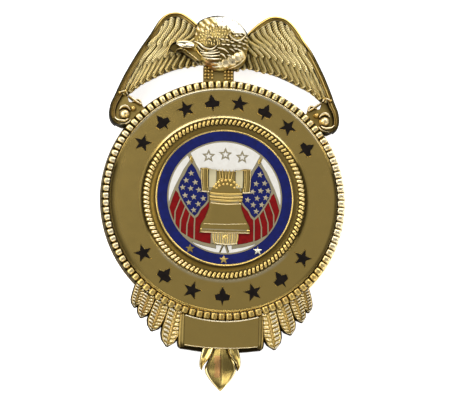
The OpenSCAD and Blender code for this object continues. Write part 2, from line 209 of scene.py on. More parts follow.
def mirrored(obj):
    """The same piece for the badge's other side."""
    other = twin(obj)
    co = points(other)
    co[:, 0] *= -1
    set_points(other, co)
    whole(other)
    bpy.ops.mesh.flip_normals()
    done()
    return other


def join(parts, name):
    deselect()
    for part in parts:
        part.select_set(True)
    bpy.context.view_layer.objects.active = parts[0]
    bpy.ops.object.join()
    parts[0].name = name
    return parts[0]


def discard(*objs):
    for obj in objs:
        bpy.data.objects.remove(obj)


print("points in the CAD shield:", len(points(frame["nodes"]["badge_body"])))

# %% [markdown]
# ## Floor
#
# The badge lies on plain pale paper. One plane is enough, a hair below the
# badge so that the two never share a surface.

# %% Floor
FLOOR_SIZE, FLOOR_GAP = 6, 0.00003
deselect()
bpy.ops.mesh.primitive_plane_add(size=FLOOR_SIZE, location=(0, 0, -FLOOR_GAP))
floor = bpy.context.object
floor.name = "floor"
print("floor", FLOOR_SIZE, "m wide")

# %% [markdown]
# ## Lights
#
# Gold shows what is around it more than its own colour, so the lamps matter
# as much as the metal. A dim box overhead gives the flat panel its olive
# tone, and large soft boxes round about give the relief its bright edges.

# %% Lights
def soft_box(name, azimuth, elevation, size, power, away=1.1):
    """A square lamp that faces the badge, azimuth 0 at the top of the picture, clockwise."""
    data = bpy.data.lights.new(name, "AREA")
    data.shape = "RECTANGLE"
    data.size, data.size_y = size
    data.energy = power
    lamp = bpy.data.objects.new(name, data)
    bpy.context.scene.collection.objects.link(lamp)
    a, e = math.radians(azimuth), math.radians(elevation)
    place = Vector((math.sin(a) * math.cos(e), math.cos(a) * math.cos(e), math.sin(e)))
    lamp.location = place * away
    lamp.rotation_euler = place.to_track_quat("Z", "Y").to_euler()
    return lamp


soft_box("overhead", 95, 83, (1.5, 1.5), 0.82, away=1.3)
soft_box("left", -75, 36, (0.8, 0.6), 6.5)
soft_box("upper_left", -28, 38, (0.6, 0.5), 3)
soft_box("lower_left", -125, 38, (0.6, 0.5), 2.4)
soft_box("back", 24, 26, (0.9, 0.45), 7)
soft_box("front", 160, 30, (0.9, 0.4), 4)
soft_box("right", 90, 28, (0.5, 0.3), 1.5)

studio = bpy.data.worlds.new("studio")
bpy.context.scene.world = studio
studio.use_nodes = True
sky = studio.node_tree.nodes["Background"].inputs
sky["Color"].default_value = (1, 0.99, 0.97, 1)
sky["Strength"].default_value = 0.13
bpy.context.scene.view_settings.view_transform = "Standard"

# %% [markdown]
# ## Building a material
#
# A material is a tree of nodes joined by links, which by hand are wired with
# the mouse. Four helpers do the usual steps in a line each: add a node, mix
# two colours, change a range of values, and multiply.

# %% Node helpers
def feed(tree, socket, value):
    """Links a socket, or sets a number or a colour."""
    if isinstance(value, bpy.types.NodeSocket):
        tree.links.new(value, socket)
    else:
        socket.default_value = value


def add(tree, kind, settings=(), **values):
    """A shader node with its settings and inputs."""
    made = tree.nodes.new("ShaderNode" + kind)
    for name, value in dict(settings).items():
        setattr(made, name, value)
    for name, value in values.items():
        feed(tree, made.inputs[name.replace("_", " ")], value)
    return made


def blend_colours(tree, share, a, b):
    made = add(tree, "Mix", {"data_type": "RGBA"})
    for place, value in ((0, share), (6, a), (7, b)):
        feed(tree, made.inputs[place], value)
    return made.outputs[2]


def remap(tree, value, low, high, to_low, to_high, soft=False):
    settings = {"clamp": True, "interpolation_type": "SMOOTHSTEP" if soft else "LINEAR"}
    made = add(tree, "MapRange", settings, Value=value, From_Min=low, From_Max=high, To_Min=to_low, To_Max=to_high)
    return made.outputs["Result"]


def times(tree, a, b, operation="MULTIPLY"):
    made = add(tree, "Math", {"operation": operation})
    for socket, value in zip(made.inputs, (a, b)):
        feed(tree, socket, value)
    return made.outputs[0]


def new_group(name, inputs, outputs):
    group = bpy.data.node_groups.new(name, "ShaderNodeTree")
    for title, kind, value in inputs:
        socket = group.interface.new_socket(title, in_out="INPUT", socket_type="NodeSocket" + kind)
        socket.default_value = value
    for title, kind in outputs:
        group.interface.new_socket(title, in_out="OUTPUT", socket_type="NodeSocket" + kind)
    return group, group.nodes.new("NodeGroupInput"), group.nodes.new("NodeGroupOutput")


print("node helpers are ready")

# %% [markdown]
# ## Gilt metal
#
# Gilding isn't one colour. It is bright on the ridges, where a polishing
# cloth reaches, and lacquer and dirt stay brown in the hollows. Shade is
# painted into the colour as well: an ambient occlusion node darkens every
# crease, corner and gap, the tone stored in the mesh adds dirt and painted
# shade above zero, and below zero it paints a highlight in the pale colour.
# Every gilt finish shares this, so it is a node group that puts out a
# colour, a roughness and a height. The metal shader itself stays in each
# material.

# %% Node group: gilding with its hollows and ridges
gilding, given, result = new_group(
    "gilding",
    [
        ("Plain", "Color", (0.8, 0.59, 0.18, 1)),
        ("Ridge", "Color", (0.97, 0.88, 0.62, 1)),
        ("Hollow", "Color", (0.055, 0.038, 0.008, 1)),
        ("Warm", "Color", (0.66, 0.4, 0.12, 1)),
        ("Reach", "Float", 0.0007),
        ("Roughness", "Float", 0.2),
        ("Grain", "Float", 5000.0),
        ("Edge", "Float", 0.2),
    ],
    [("Color", "Color"), ("Roughness", "Float"), ("Height", "Float")],
)
place = add(gilding, "TexCoord").outputs["Object"]
# Painted shade: ambient occlusion darkens creases, corners and gaps towards the dark colour.
shade = add(gilding, "AmbientOcclusion", {"samples": 8}, Distance=given.outputs["Reach"])
dirt_and_light_value = add(gilding, "Attribute", {"attribute_name": "dirt_and_painted_light"}).outputs["Fac"]
clean_and_unshaded = remap(gilding, shade.outputs["AO"], 0.4, 0.9, 0, 1, soft=True)
clean_and_unshaded = times(gilding, clean_and_unshaded, remap(gilding, dirt_and_light_value, 0, 1, 1, 0.04))
blotches = add(gilding, "TexNoise", Vector=place, Scale=420.0, Detail=3.0, Roughness=0.6)
specks = add(gilding, "TexNoise", Vector=place, Scale=given.outputs["Grain"], Detail=2.0, Roughness=0.6)
sharp = remap(
    gilding, add(gilding, "NewGeometry").outputs["Pointiness"], 0.505, 0.56, 0, given.outputs["Edge"], soft=True,
)
warmth = remap(gilding, blotches.outputs["Fac"], 0.52, 0.74, 0, 0.6)
metal = blend_colours(gilding, warmth, given.outputs["Plain"], given.outputs["Warm"])
metal = blend_colours(gilding, clean_and_unshaded, given.outputs["Hollow"], metal)
metal = blend_colours(gilding, sharp, metal, given.outputs["Ridge"])
# A tone below zero paints a highlight in the pale colour.
metal = blend_colours(gilding, remap(gilding, dirt_and_light_value, -1, 0, 1, 0), metal, given.outputs["Ridge"])
gilding.links.new(metal, result.inputs["Color"])
uneven = remap(gilding, blotches.outputs["Fac"], 0.3, 0.7, -0.02, 0.03)
rough = times(gilding, given.outputs["Roughness"], uneven, "ADD")
rough = times(gilding, rough, remap(gilding, clean_and_unshaded, 0, 1, 0.22, 0), "ADD")
gilding.links.new(rough, result.inputs["Roughness"])
gilding.links.new(specks.outputs["Fac"], result.inputs["Height"])
print("gilding group:", len(gilding.nodes), "nodes")

# %% [markdown]
# ## Gilt finishes
#
# One badge has several finishes: the raised lines are burnished, the panel
# is satin, and the feathers are softer still. A near-black gilt on the
# sides, outlines and backings paints their shade, a frosted gilt with a pale
# colour paints broad highlights, and a red-tinted gilt paints a warm red
# reflection. Each is a material with its own shader, fed by the shared
# group.

# %% Gilt finishes
def surface(name, group, bump, strength, constants, **values):
    """A material: a shared group feeds the shader, whose constants are set on it."""
    material = bpy.data.materials.new(name)
    material.use_nodes = True
    tree = material.node_tree
    shader = tree.nodes["Principled BSDF"].inputs
    for title, value in constants.items():
        shader[title].default_value = value
    effect = tree.nodes.new("ShaderNodeGroup")
    effect.node_tree = group
    for title, value in values.items():
        effect.inputs[title].default_value = (*value, 1) if isinstance(value, tuple) else value
    relief = add(tree, "Bump", Height=effect.outputs["Height"], Distance=bump, Strength=strength)
    feed(tree, shader["Base Color"], effect.outputs["Color"])
    feed(tree, shader["Roughness"], effect.outputs["Roughness"])
    feed(tree, shader["Normal"], relief.outputs["Normal"])
    return material


def gilt(name, bump, **values):
    """A metal whose grain is bump deep, in thousandths of a millimetre."""
    return surface(name, gilding, bump * 1e-6, 1.0, {"Metallic": 1}, **values)


bright_gilt = gilt("bright_gilt", 4, Roughness=0.15)
feather_gilt = gilt("feather_gilt", 6, Roughness=0.2, Reach=0.0006)
satin_gilt = gilt(
    "satin_gilt", 2, Roughness=0.24, Grain=9000.0, Reach=0.0005, Edge=0.0,
    Plain=(0.79, 0.56, 0.165), Hollow=(0.03, 0.02, 0.005), Warm=(0.76, 0.52, 0.145),
)
plume_gilt = gilt(
    "plume_gilt", 4, Roughness=0.29, Reach=0.0003, Edge=0.1,
    Plain=(0.82, 0.6, 0.17), Ridge=(1.0, 0.88, 0.52), Hollow=(0.04, 0.027, 0.006), Warm=(0.76, 0.46, 0.13),
)
border_gilt = gilt(
    "border_gilt", 3, Roughness=0.38, Reach=0.0003, Edge=0.0,
    Plain=(0.85, 0.62, 0.2), Ridge=(0.99, 0.94, 0.76), Hollow=(0.03, 0.02, 0.005), Warm=(0.82, 0.5, 0.16),
)
# Frosted roughness, with a pale cream colour that paints broad highlights.
frosted_highlight_gilt = gilt(
    "frosted_highlight_gilt", 4, Roughness=0.55, Edge=0.0,
    Plain=(0.95, 0.85, 0.55), Ridge=(0.99, 0.95, 0.82), Warm=(0.9, 0.74, 0.4),
)
# Near-black gilt: painted shade on walls, outlines and backings.
painted_shade_gilt = gilt(
    "painted_shade_gilt", 15, Roughness=0.5, Edge=0.05,
    Plain=(0.02, 0.014, 0.005), Ridge=(0.1, 0.075, 0.025), Hollow=(0.005, 0.004, 0.002), Warm=(0.035, 0.02, 0.006),
)
# A red tint that paints a warm red reflection.
red_reflection_gilt = gilt("red_reflection_gilt", 4, Roughness=0.2, Plain=(0.84, 0.45, 0.17), Warm=(0.8, 0.33, 0.1))
worn_gilt = gilt(
    "worn_gilt", 3, Roughness=0.4, Reach=0.0004, Edge=0.0, Plain=(0.68, 0.59, 0.37), Warm=(0.6, 0.49, 0.27),
)
print("gilt finishes:", [m.name for m in bpy.data.materials if m.name.endswith("gilt")])

# %% [markdown]
# ## Enamel
#
# Hard enamel is coloured glass that is melted into cells and ground flush
# with the metal. It is glossy, a little uneven in colour, and not quite
# flat, so its reflections waver. The unevenness is shared by the four
# colours, and the glassy shader stays in each material.

# %% Node group: the unevenness of fired glass
firing, given, result = new_group(
    "firing",
    [("Glass", "Color", (1, 1, 1, 1)), ("Deep", "Color", (0.5, 0.5, 0.5, 1)), ("Spots", "Float", 900.0)],
    [("Color", "Color"), ("Roughness", "Float"), ("Height", "Float")],
)
place = add(firing, "TexCoord").outputs["Object"]
clouds = add(firing, "TexNoise", Vector=place, Scale=given.outputs["Spots"], Detail=4.0, Roughness=0.55)
waves = add(firing, "TexNoise", Vector=place, Scale=260.0, Detail=1.0)
share = remap(firing, clouds.outputs["Fac"], 0.35, 0.7, 0, 1)
glass = blend_colours(firing, share, given.outputs["Glass"], given.outputs["Deep"])
firing.links.new(glass, result.inputs["Color"])
firing.links.new(remap(firing, clouds.outputs["Fac"], 0.3, 0.7, 0.05, 0.13), result.inputs["Roughness"])
firing.links.new(waves.outputs["Fac"], result.inputs["Height"])

print("firing group:", len(firing.nodes), "nodes")

# %% [markdown]
# ## The four enamels
#
# Blue, white, red and black are the same glass with different powders. The
# enamel pieces of the CAD model have the right shape, so they stay as they
# are and only get their glass.

# %% Enamel colours
WAVER = 0.00002


def enamel(name, glass, deep, ior=1.55):
    """Coloured glass: its colour where it is thin, and where it is deep."""
    return surface(name, firing, WAVER, 0.5, {"IOR": ior}, Glass=glass, Deep=deep)


def dress(obj, *materials):
    """Gives a piece its materials in place of those that it has."""
    obj.data.materials.clear()
    for material in materials:
        obj.data.materials.append(material)


enamels = {
    "blue_enamel": enamel("blue_glass", (0.004, 0.009, 0.115), (0.003, 0.006, 0.07)),
    "white_enamel": enamel("white_glass", (0.78, 0.76, 0.7), (0.72, 0.69, 0.62)),
    "red_enamel": enamel("red_glass", (0.22, 0.003, 0.003), (0.15, 0.002, 0.003), ior=1.4),
    "black_enamel": enamel("black_glass", (0.006, 0.004, 0.003), (0.012, 0.008, 0.006), ior=1.35),
}

enamelled = [row for row in frame["record"]["subparts"] if row["material_slot"] in enamels]
for row in enamelled:
    dress(frame["nodes"][row["node"]], enamels[row["material_slot"]])
print("enamelled nodes:", len(enamelled))

# %% [markdown]
# ## Paper, disc and pin
#
# The floor is matt paper with faint fibres. It glows a little, which paints
# out the shadows that the badge casts on it and lights the badge a little
# from below. Two metal pieces of the CAD model are still seen: the
# medallion's disc between the enamels, and the pin on the back.

# %% Paper, disc and pin
paper = bpy.data.materials.new("pale_paper")
paper.use_nodes = True
sheet_nodes = paper.node_tree
fibres = add(sheet_nodes, "TexNoise", Scale=60.0, Detail=4.0)
PALE, PALER = (0.93, 0.93, 0.93, 1), (0.95, 0.95, 0.945, 1)
paper_shader = sheet_nodes.nodes["Principled BSDF"].inputs
feed(sheet_nodes, paper_shader["Base Color"], blend_colours(sheet_nodes, fibres.outputs["Fac"], PALE, PALER))
paper_shader["Roughness"].default_value = 0.9
paper_shader["Specular IOR Level"].default_value = 0.1
# Emission: the floor glows, which paints out the badge's shadows on it.
paper_shader["Emission Color"].default_value = (1, 1, 1, 1)
paper_shader["Emission Strength"].default_value = 0.8
dress(floor, paper)
dress(frame["nodes"]["seal_disc"], worn_gilt)
dress(frame["nodes"]["back_pin"], bright_gilt)
print("materials:", len(bpy.data.materials))

# %% [markdown]
# ## Laying a piece on the dome
#
# A flat piece could be bent with a lattice or a Simple Deform modifier. Here
# each of its points is lifted by the dome's height instead, which is exact.
# The eagle of this badge is drawn a little larger than its plain solid, so
# its points are moved outward too. Then the piece goes to metres, gets its
# finish, and rides on the badge in place of the plain CAD shield.

# %% Laying a piece on the dome
def drawn_out(co):
    """The eagle a little taller and its right wing wider, the plate at the foot a little shorter."""
    x, y = co[:, 0].copy(), co[:, 1].copy()
    clear = np.interp(np.hypot(x, y), [29, 31], [0, 1])
    wide = np.interp(x, [6, 16], [0, 1]) * np.interp(y, [23, 29, 36, 40, 44], [0, 0.35, 0.85, 0.8, 0.4])
    tall = np.interp(y, [29, 36, 42], [0, 0.35, 0.75]) + 0.15 * wide
    raised = np.interp(y, [-44, -39, -35, -30], [0.05, 0.25, 0.45, 0]) * np.interp(np.abs(x), [10, 11], [1, 0])
    co[:, 0] += clear * wide
    co[:, 1] += clear * tall + raised


WALL = 0.25


def finish(obj, name, material, side=None, angle=40, on_dome=True, stands_for=("badge_body",)):
    """Millimetres become metres, the piece lies on the dome and gets its finish."""
    pick(obj)
    bpy.ops.object.transform_apply(location=True, rotation=True, scale=True)
    obj.name = obj.data.name = name
    co = points(obj)
    if on_dome:
        co[:, 2] += back(co[:, 0], co[:, 1])
        drawn_out(co)
    set_points(obj, co * MM)
    dress(obj, material)
    # Faces steeper than WALL get the side material, which paints shade on the walls.
    if side:
        dress(obj, material, side)
        for face in obj.data.polygons:
            face.material_index = int(face.normal.z < WALL)
    pick(obj)
    bpy.ops.object.shade_smooth_by_angle(angle=math.radians(angle))
    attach(obj, "root")
    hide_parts(*stands_for)
    print(name, len(obj.data.polygons), "faces")
    return obj


def both_sides(right_piece, title, material, side=None, fit=None):
    """Finishes a right-hand piece and its mirror image, fitted to its side first."""
    left_piece = mirrored(right_piece)
    if fit:
        fit(left_piece)
    finish(right_piece, title + "_right", material, side)
    finish(left_piece, title + "_left", material, side)


print("the dome is", round(back(0, 0) - back(0, SHIELD_R), 2), "mm deep at the shield's edge")

# %% [markdown]
# ## Tone kept in the mesh
#
# Dirt and lacquer stay in the hollows of struck relief. A node can guess
# where those are, but a maker knows. Each point stores a tone, from -1 for a
# painted highlight on a ridge to 1 for the darkest hollows, and the gilding
# reads it. Above zero the tone is dirt and painted shade together, and most
# tones here paint the relief's light and shade: lit crests, shaded edges and
# gaps, and sides lit unequally.

# %% Tone kept in the mesh
def darken(obj, values):
    """Stores a tone for each point, dirt and painted shade above zero and a painted highlight below it, which the
    gilding reads.
    """
    dirt_and_painted_light = obj.data.attributes.get("dirt_and_painted_light") or obj.data.attributes.new("dirt_and_painted_light", "FLOAT", "POINT")
    dirt_and_painted_light.data.foreach_set("value", np.ascontiguousarray(np.clip(values, -1, 1), np.float32))


def smear(obj, value):
    """The same darkness all over a piece."""
    darken(obj, np.full(len(obj.data.vertices), float(value)))
    return obj


print("tones run from -1 to 1")

# %% [markdown]
# ## The round shield
#
# The shield is a body of revolution: a seat for the medallion, a plain
# cone round it, the ring panel between two thin raised lips, and the
# ledge under the flutes. A lathe makes such a shape from half its outline,
# so the outline is drawn once and spun.

# %% Lathe
def lathe(outline, steps):
    """Spins an outline of radius and height about the middle into a closed body."""
    deselect()
    bpy.ops.mesh.primitive_circle_add(vertices=len(outline), radius=1, fill_type="NOTHING")
    body = bpy.context.object
    set_points(body, [(r, 0, h) for r, h in outline])
    pick(body)
    bpy.ops.object.mode_set(mode="EDIT")
    bpy.ops.mesh.select_mode(type="VERT")
    bpy.ops.mesh.select_all(action="SELECT")
    bpy.ops.mesh.spin(steps=steps, angle=2 * math.pi, center=(0, 0, 0), axis=(0, 0, 1))
    bpy.ops.mesh.select_all(action="SELECT")
    bpy.ops.mesh.remove_doubles(threshold=0.001)
    outward()
    return body


SEAT_R = 16.02


def seat(r):
    """The medallion's seat is level, so it rises over the dome with the radius."""
    return 1 + r * r / (2 * DOME_R)


print("the seat rises to", round(seat(SEAT_R), 2), "mm")

# %% Shield
OUTLINE = (
    [(0, seat(0)), (8, seat(8)), (SEAT_R, seat(SEAT_R)), (16.1, 1.42), (16.3, 1.42), (16.8, 1.6), (17.3, 1.86)]
    + [(18.8, 1.86), (19.0, 1.9), (19.04, 2.03), (19.12, 2.1), (19.24, 2.08), (19.3, 2.05)]
    + [(r, 2.05) for r in np.arange(19.9, 25.9, 0.7)]
    + [(26.0, 2.05), (26.06, 2.1), (26.2, 2.12), (26.36, 2.02), (26.48, 1.8), (26.56, 1.35), (26.7, 1.2)]
    + [(28.1, 1.15), (28.25, 1.0), (28.58, 0.4), (28.6, 0.1), (28.5, 0.0)]
    + [(r, 0.0) for r in np.arange(26, 0, -2)]
    + [(0, 0.0)]
)
shield = lathe(OUTLINE, 240)
print("shield:", len(shield.data.polygons), "faces")

# %% [markdown]
# ## Light and shade round the shield
#
# The lips and the ledge catch the lamps on some sides and lie in shade on
# others, and that light and shade is painted into their tone. A texture
# could do that with a gradient. The tone is painted by the angle from the
# top instead, a band of radii at a time. The channels round the cord and
# the groove under the flutes get painted shade by their radius alone.

# %% Tones of the shield
def by_radius_and_angle(obj):
    """Each point's distance from the middle, and its angle from the top, clockwise."""
    x, y = points(obj)[:, :2].T
    return np.hypot(x, y), np.degrees(np.arctan2(x, y))


# Inner and outer radius, least height, whether both sides are alike, angles, tones.
LIGHT_AND_SHADE_BANDS = [
    (18.97, 19.4, 1.5, True, [0, 45, 65, 115, 135, 180], [-0.3, -0.3, 1, 1, -0.6, -0.6]),
    (25.9, 26.4, 1.5, True, [0, 50, 75, 125, 150, 180], [-1, -0.7, 1, 0.9, 0.1, 0.2]),
    (25.3, 26, 1.5, False, [-140, -120, -75, -55], [0, 0.7, 0.7, 0]),
    (26.4, 28, 0.5, True, [0, 30, 60, 130, 150, 180], [0.3, 0.5, 0.9, 0.8, -0.4, -0.6]),
    (28.05, 30, 0.05, False, [-180, -140, -40, -10, 30, 100, 140, 180], [0.6, 1, 1, 0.3, -0.5, -0.9, 0, 0.6]),
]
reach, angle = by_radius_and_angle(shield)
# Painted shade in the channels and the groove, by radius.
darken(
    shield,
    np.interp(reach, [16.05, 16.2, 17.2, 18.7, 19.0, 19.1, 26.38, 26.46], [0.9, 0.68, 0.5, 0.75, 0.75, 0, 0, 0.7]),
)
# Painted light and shade on the lips and the ledge, by angle.
for item, r, a, z in zip(shield.data.attributes["dirt_and_painted_light"].data, reach, angle, points(shield)[:, 2]):
    for inner, outer, least, alike, angles, tones in LIGHT_AND_SHADE_BANDS:
        if z > least and inner < r < outer:
            item.value = np.interp(abs(a) if alike else a, angles, tones)
            break
finish(shield, "shield_plate", satin_gilt, angle=30)

# %% [markdown]
# ## Strips that follow a line
#
# Flutes, strands, ridges, rims and feathers are all the same kind of thing:
# a strip with its own cross-section that follows a line on the face. Each
# kind is modelled once as a straight strip, from a grid whose edge is
# extruded down and closed, and its top is raised to a section. A copy is
# then bent along the line. A Curve modifier could do that too, but it can't
# change the width and the height along the way as simply.

# %% The straight strip
def straight(across, along, height, dark=None):
    """A closed strip 2 wide and 1 long with its top raised to height(s, t), from 0 to 1."""
    deselect()
    bpy.ops.mesh.primitive_grid_add(x_subdivisions=across, y_subdivisions=along, size=2)
    strip = bpy.context.object
    whole(strip)
    bpy.ops.transform.resize(value=(1, 0.5, 1))
    bpy.ops.transform.translate(value=(0, 0.5, 0))
    bpy.ops.mesh.region_to_loop()
    bpy.ops.mesh.extrude_edges_move(TRANSFORM_OT_translate={"value": (0, 0, -1)})
    bpy.ops.mesh.edge_face_add()
    outward()
    co = points(strip)
    top = co[:, 2] > -0.5
    s, t = co[:, 0], co[:, 1]
    # By default the crest gets a painted highlight and the edges painted shade.
    edge = np.interp(np.abs(s), [0, 0.4, 0.7, 1], [-0.8, -0.3, 0.1, 0.9])
    co[top, 2] = np.clip(height(s[top], t[top]), 0, 1.2)
    set_points(strip, co)
    darken(strip, np.where(top, dark(s, t) if dark else edge, 1))
    return strip


def arch(s, t=0):
    """A half-round section."""
    return np.sqrt(np.clip(1 - s * s, 0, 1))


round_strip = straight(6, 8, arch)
print("round strip:", len(round_strip.data.polygons), "faces")

# %% The smooth line and the bent copy
def smooth(rows, count=120):
    """A smooth line through rows of numbers, in equal steps of its length."""
    rows = np.array(rows, float)
    line = np.vstack([2 * rows[:1] - rows[1:2], rows, 2 * rows[-1:] - rows[-2:-1]])
    fine = []
    for a, b, c, d in zip(line, line[1:], line[2:], line[3:]):
        for t in np.linspace(0, 1, 16, endpoint=False):
            fine.append(0.5 * (
                2 * b + (c - a) * t + (2 * a - 5 * b + 4 * c - d) * t ** 2 + (3 * b - a - 3 * c + d) * t ** 3
            ))
    fine = np.array(fine + [rows[-1]])
    length = np.r_[0, np.cumsum(np.hypot(*np.diff(fine[:, :2], axis=0).T))]
    at = np.linspace(0, length[-1], count)
    return np.column_stack([np.interp(at, length, column) for column in fine.T])


def heading(path):
    """The direction of a line at each of its points."""
    ahead = np.gradient(path[:, :2], axis=0)
    return ahead / np.hypot(*ahead.T)[:, None]


def bent(strip, rows, foot=0.3):
    """A copy of the strip along rows of x, y, half width, height of its edges and of its crown."""
    path = smooth(rows)
    ahead = heading(path)
    steps = np.linspace(0, 1, len(path))
    copy = twin(strip)
    s, t, h = points(copy).T
    x, y, half, low, high = [np.interp(t, steps, column) for column in path.T]
    side_x, side_y = np.interp(t, steps, ahead[:, 1]), np.interp(t, steps, -ahead[:, 0])
    z = np.where(h < -0.5, np.minimum(foot, low), low + (high - low) * h)
    set_points(copy, np.column_stack([x + side_x * s * half, y + side_y * s * half, z]))
    return copy


def polar(r, degrees):
    a = math.radians(degrees)
    return r * math.sin(a), r * math.cos(a)


print("a smooth line of", len(smooth([(0, 0), (1, 2), (3, 3)])), "points")

# %% [markdown]
# ## The fluted border
#
# The border is cut with a hundred short flutes. One flute is modelled as a
# small strip and bent into place at the top. An Array modifier, turned about
# the middle by an empty, repeats it all the way round.

# %% Copies round the middle
def ring_copies(obj, count):
    """count copies round the middle, each turned by the same angle."""
    hub = bpy.data.objects.new("hub", None)
    bpy.context.scene.collection.objects.link(hub)
    hub.rotation_euler.z = 2 * math.pi / count
    bpy.context.view_layer.update()
    modify(obj, "ARRAY", count=count, use_relative_offset=False, use_object_offset=True, offset_object=hub)
    discard(hub)
    return obj


print("copies are turned about the middle")

# %% Flutes
FLUTES = 100
STEP = 360 / FLUTES
flute = straight(
    8, 10,
    lambda s, t: (1 - np.abs(s) ** 2.6) ** 0.6
    * np.interp(t, [0, 0.1, 0.2, 0.4, 0.8, 0.92, 1], [0.3, 0.8, 0.95, 1, 0.98, 0.8, 0.2]),
)
FLUTE_ROWS = [
    (0, 26.5, 0.76, 1.2, 1.9), (0, 27.2, 0.83, 1.2, 2.0), (0, 27.9, 0.85, 1.2, 2.0), (0, 28.36, 0.84, 1.1, 1.85),
]
flutes = ring_copies(bent(flute, FLUTE_ROWS, foot=0.9), FLUTES)
SIDES = [-180, -150, -125, -110, -75, -55, 0, 50, 75, 110, 135, 180]


def flute_light_and_shade(obj):
    """Painted light and shade round the border: lit round pearls on the left, a pale lit band on the right, shaded
    brown bars below, with painted shade in the gaps and a dark painted outline at the outer end.
    """
    r, a = by_radius_and_angle(obj)
    off = np.abs((a + STEP / 2) % STEP - STEP / 2) * math.pi / 180 * r
    width = np.interp(a, SIDES, [0.78, 0.74, 0.68, 0.76, 0.76, 0.54, 0.5, 0.54, 0.9, 0.9, 0.74, 0.78])
    body = np.interp(a, SIDES, [0.45, 0.4, -0.3, -0.6, -0.6, -0.5, -0.4, -0.4, -0.55, -0.55, 0.2, 0.45])
    gap = np.interp(a, SIDES, [0.3, 0.4, 0.8, 0.8, 0.8, 0.9, 0.85, 0.7, -0.1, -0.1, 0.4, 0.3])
    inner = np.interp(a, SIDES, [26.95, 26.95, 26.6, 26.45, 26.45, 26.5, 26.6, 26.6, 26.6, 26.6, 26.95, 26.95])
    outer = np.interp(a, SIDES, [28.3, 28.2, 28.0, 27.9, 27.9, 28.2, 28.35, 28.35, 28.4, 28.4, 28.3, 28.3])
    slope = np.interp(a, SIDES, [-0.2, 0.1, 0.9, 0.9, 0.9, 0.7, 0.7, 0.7, 1, 1, 0.2, -0.2])
    curve = 0.28 * (off / width) ** 2
    tone = body + (gap - body) * np.clip((off - width + 0.16) / 0.22, 0, 1)
    tone = tone + (slope - tone) * np.clip((inner + curve - r) / 0.16, 0, 1)
    return tone + np.clip((r - outer + curve) / 0.12, 0, 1) * 1.9


darken(flutes, flute_light_and_shade(flutes))
finish(flutes, "border_flutes", border_gilt)

# %% [markdown]
# ## The cord
#
# A cord of slanted strands runs round the medallion. A real cord is twisted,
# and a struck one only shows the tops of its strands, so one strand that
# leans over by two degrees is made and copied round.

# %% Cord
STRANDS = 110
# Each strand's tone paints a highlight along its top and shade at its sides and ends.
strand = straight(
    8, 8,
    lambda s, t: np.sqrt(np.clip(1 - s * s * 0.9, 0, 1))
    * np.interp(t, [0, 0.15, 0.5, 0.85, 1], [0.2, 0.75, 1, 0.75, 0.2]),
    lambda s, t: np.maximum(
        np.interp(np.abs(s), [0, 0.5, 0.9, 1], [-0.6, -0.4, 0.7, 0.9]),
        np.interp(np.abs(t - 0.5), [0.3, 0.5], [-0.5, 0.8]),
    ),
)
start, end = polar(17.3, -1.0), polar(18.8, 1.0)
halfway = ((start[0] + end[0]) / 2, (start[1] + end[1]) / 2)
one = bent(strand, [(*start, 0.4, 1.85, 2.45), (*halfway, 0.46, 1.85, 2.5), (*end, 0.44, 1.85, 2.45)], foot=1.6)
cord = ring_copies(one, STRANDS)
# Painted light and shade by the angle round the ring, added to each strand's own tone.
CORD_SIDES = [-180, -135, -90, -50, 0, 50, 72, 100, 140, 180]
CORD_LIGHT_AND_SHADE = [0.45, -0.05, -0.05, 0.4, 0.6, 0.55, 0.0, 0.3, 0.5, 0.45]
for item, a in zip(cord.data.attributes["dirt_and_painted_light"].data, by_radius_and_angle(cord)[1]):
    item.value = item.value * 0.8 + np.interp(a, CORD_SIDES, CORD_LIGHT_AND_SHADE)
finish(cord, "cord_strands", border_gilt)

# %% [markdown]
# ## Marks in the ring panel
#
# The panel carries black enamel in sunk marks, stars and sprigs, which come
# from the CAD model. Added here is the thin edge of metal that the punch
# throws up round each mark. It is a flat outline, extruded, inset and pushed
# down inside, and one of each kind is turned into its places.

# %% Outlines and plates
UNCUT = 50


def star_outline(r, inner):
    return [
        (q * math.sin(k * math.pi / 5), q * math.cos(k * math.pi / 5))
        for k in range(10) for q in [r * (1, inner)[k % 2]]
    ]


def sprig_outline(h):
    leaf = [(0.28, -h * 0.5), (1.6, -h * 0.42), (1.85, h * 0.1), (0.72, h * 0.28), (0.62, h * 0.5)]
    half = [(0, -h), *leaf, (0, h)]
    return half + [(-x, y) for x, y in half[-2:0:-1]]


def plate(outline, low, high, step=4.0):
    """A flat outline, cut a step at a time so that it can follow the dome, and extruded."""
    deselect()
    bpy.ops.mesh.primitive_circle_add(vertices=len(outline), radius=1, fill_type="NGON")
    sheet = bpy.context.object
    set_points(sheet, [(x, y, low) for x, y in outline])
    xs, ys = zip(*outline)
    whole(sheet)
    for axis, low_end, high_end in ((0, min(xs), max(xs)), (1, min(ys), max(ys))):
        for cut in np.arange(low_end + step, high_end, step):
            middle = [0, 0, 0]
            middle[axis] = cut
            normal = [float(axis == 0), float(axis == 1), 0]
            bpy.ops.mesh.select_all(action="SELECT")
            bpy.ops.mesh.bisect(plane_co=middle, plane_no=normal)
    bpy.ops.mesh.select_all(action="SELECT")
    bpy.ops.mesh.extrude_region_move(TRANSFORM_OT_translate={"value": (0, 0, high - low)})
    outward()
    return sheet


def moved(obj, x, y, degrees=0):
    """Turns a flat piece about its own middle and puts it at a place."""
    co = points(obj)
    a = math.radians(degrees)
    co[:, :2] = co[:, :2] @ np.array([[math.cos(a), math.sin(a)], [-math.sin(a), math.cos(a)]]) + (x, y)
    set_points(obj, co)
    return obj


print("a star has", len(star_outline(1, 0.4)), "corners and a sprig", len(sprig_outline(1)))

# %% The edges of the marks
FACE_UP = 0.9
MARK_R = 22.7
UPPER_MARKS = [-57, -40, -24, -8, 8, 24, 40, 57]
LOWER_MARKS = [126, 144, 162, 180, 198, 216, 234]


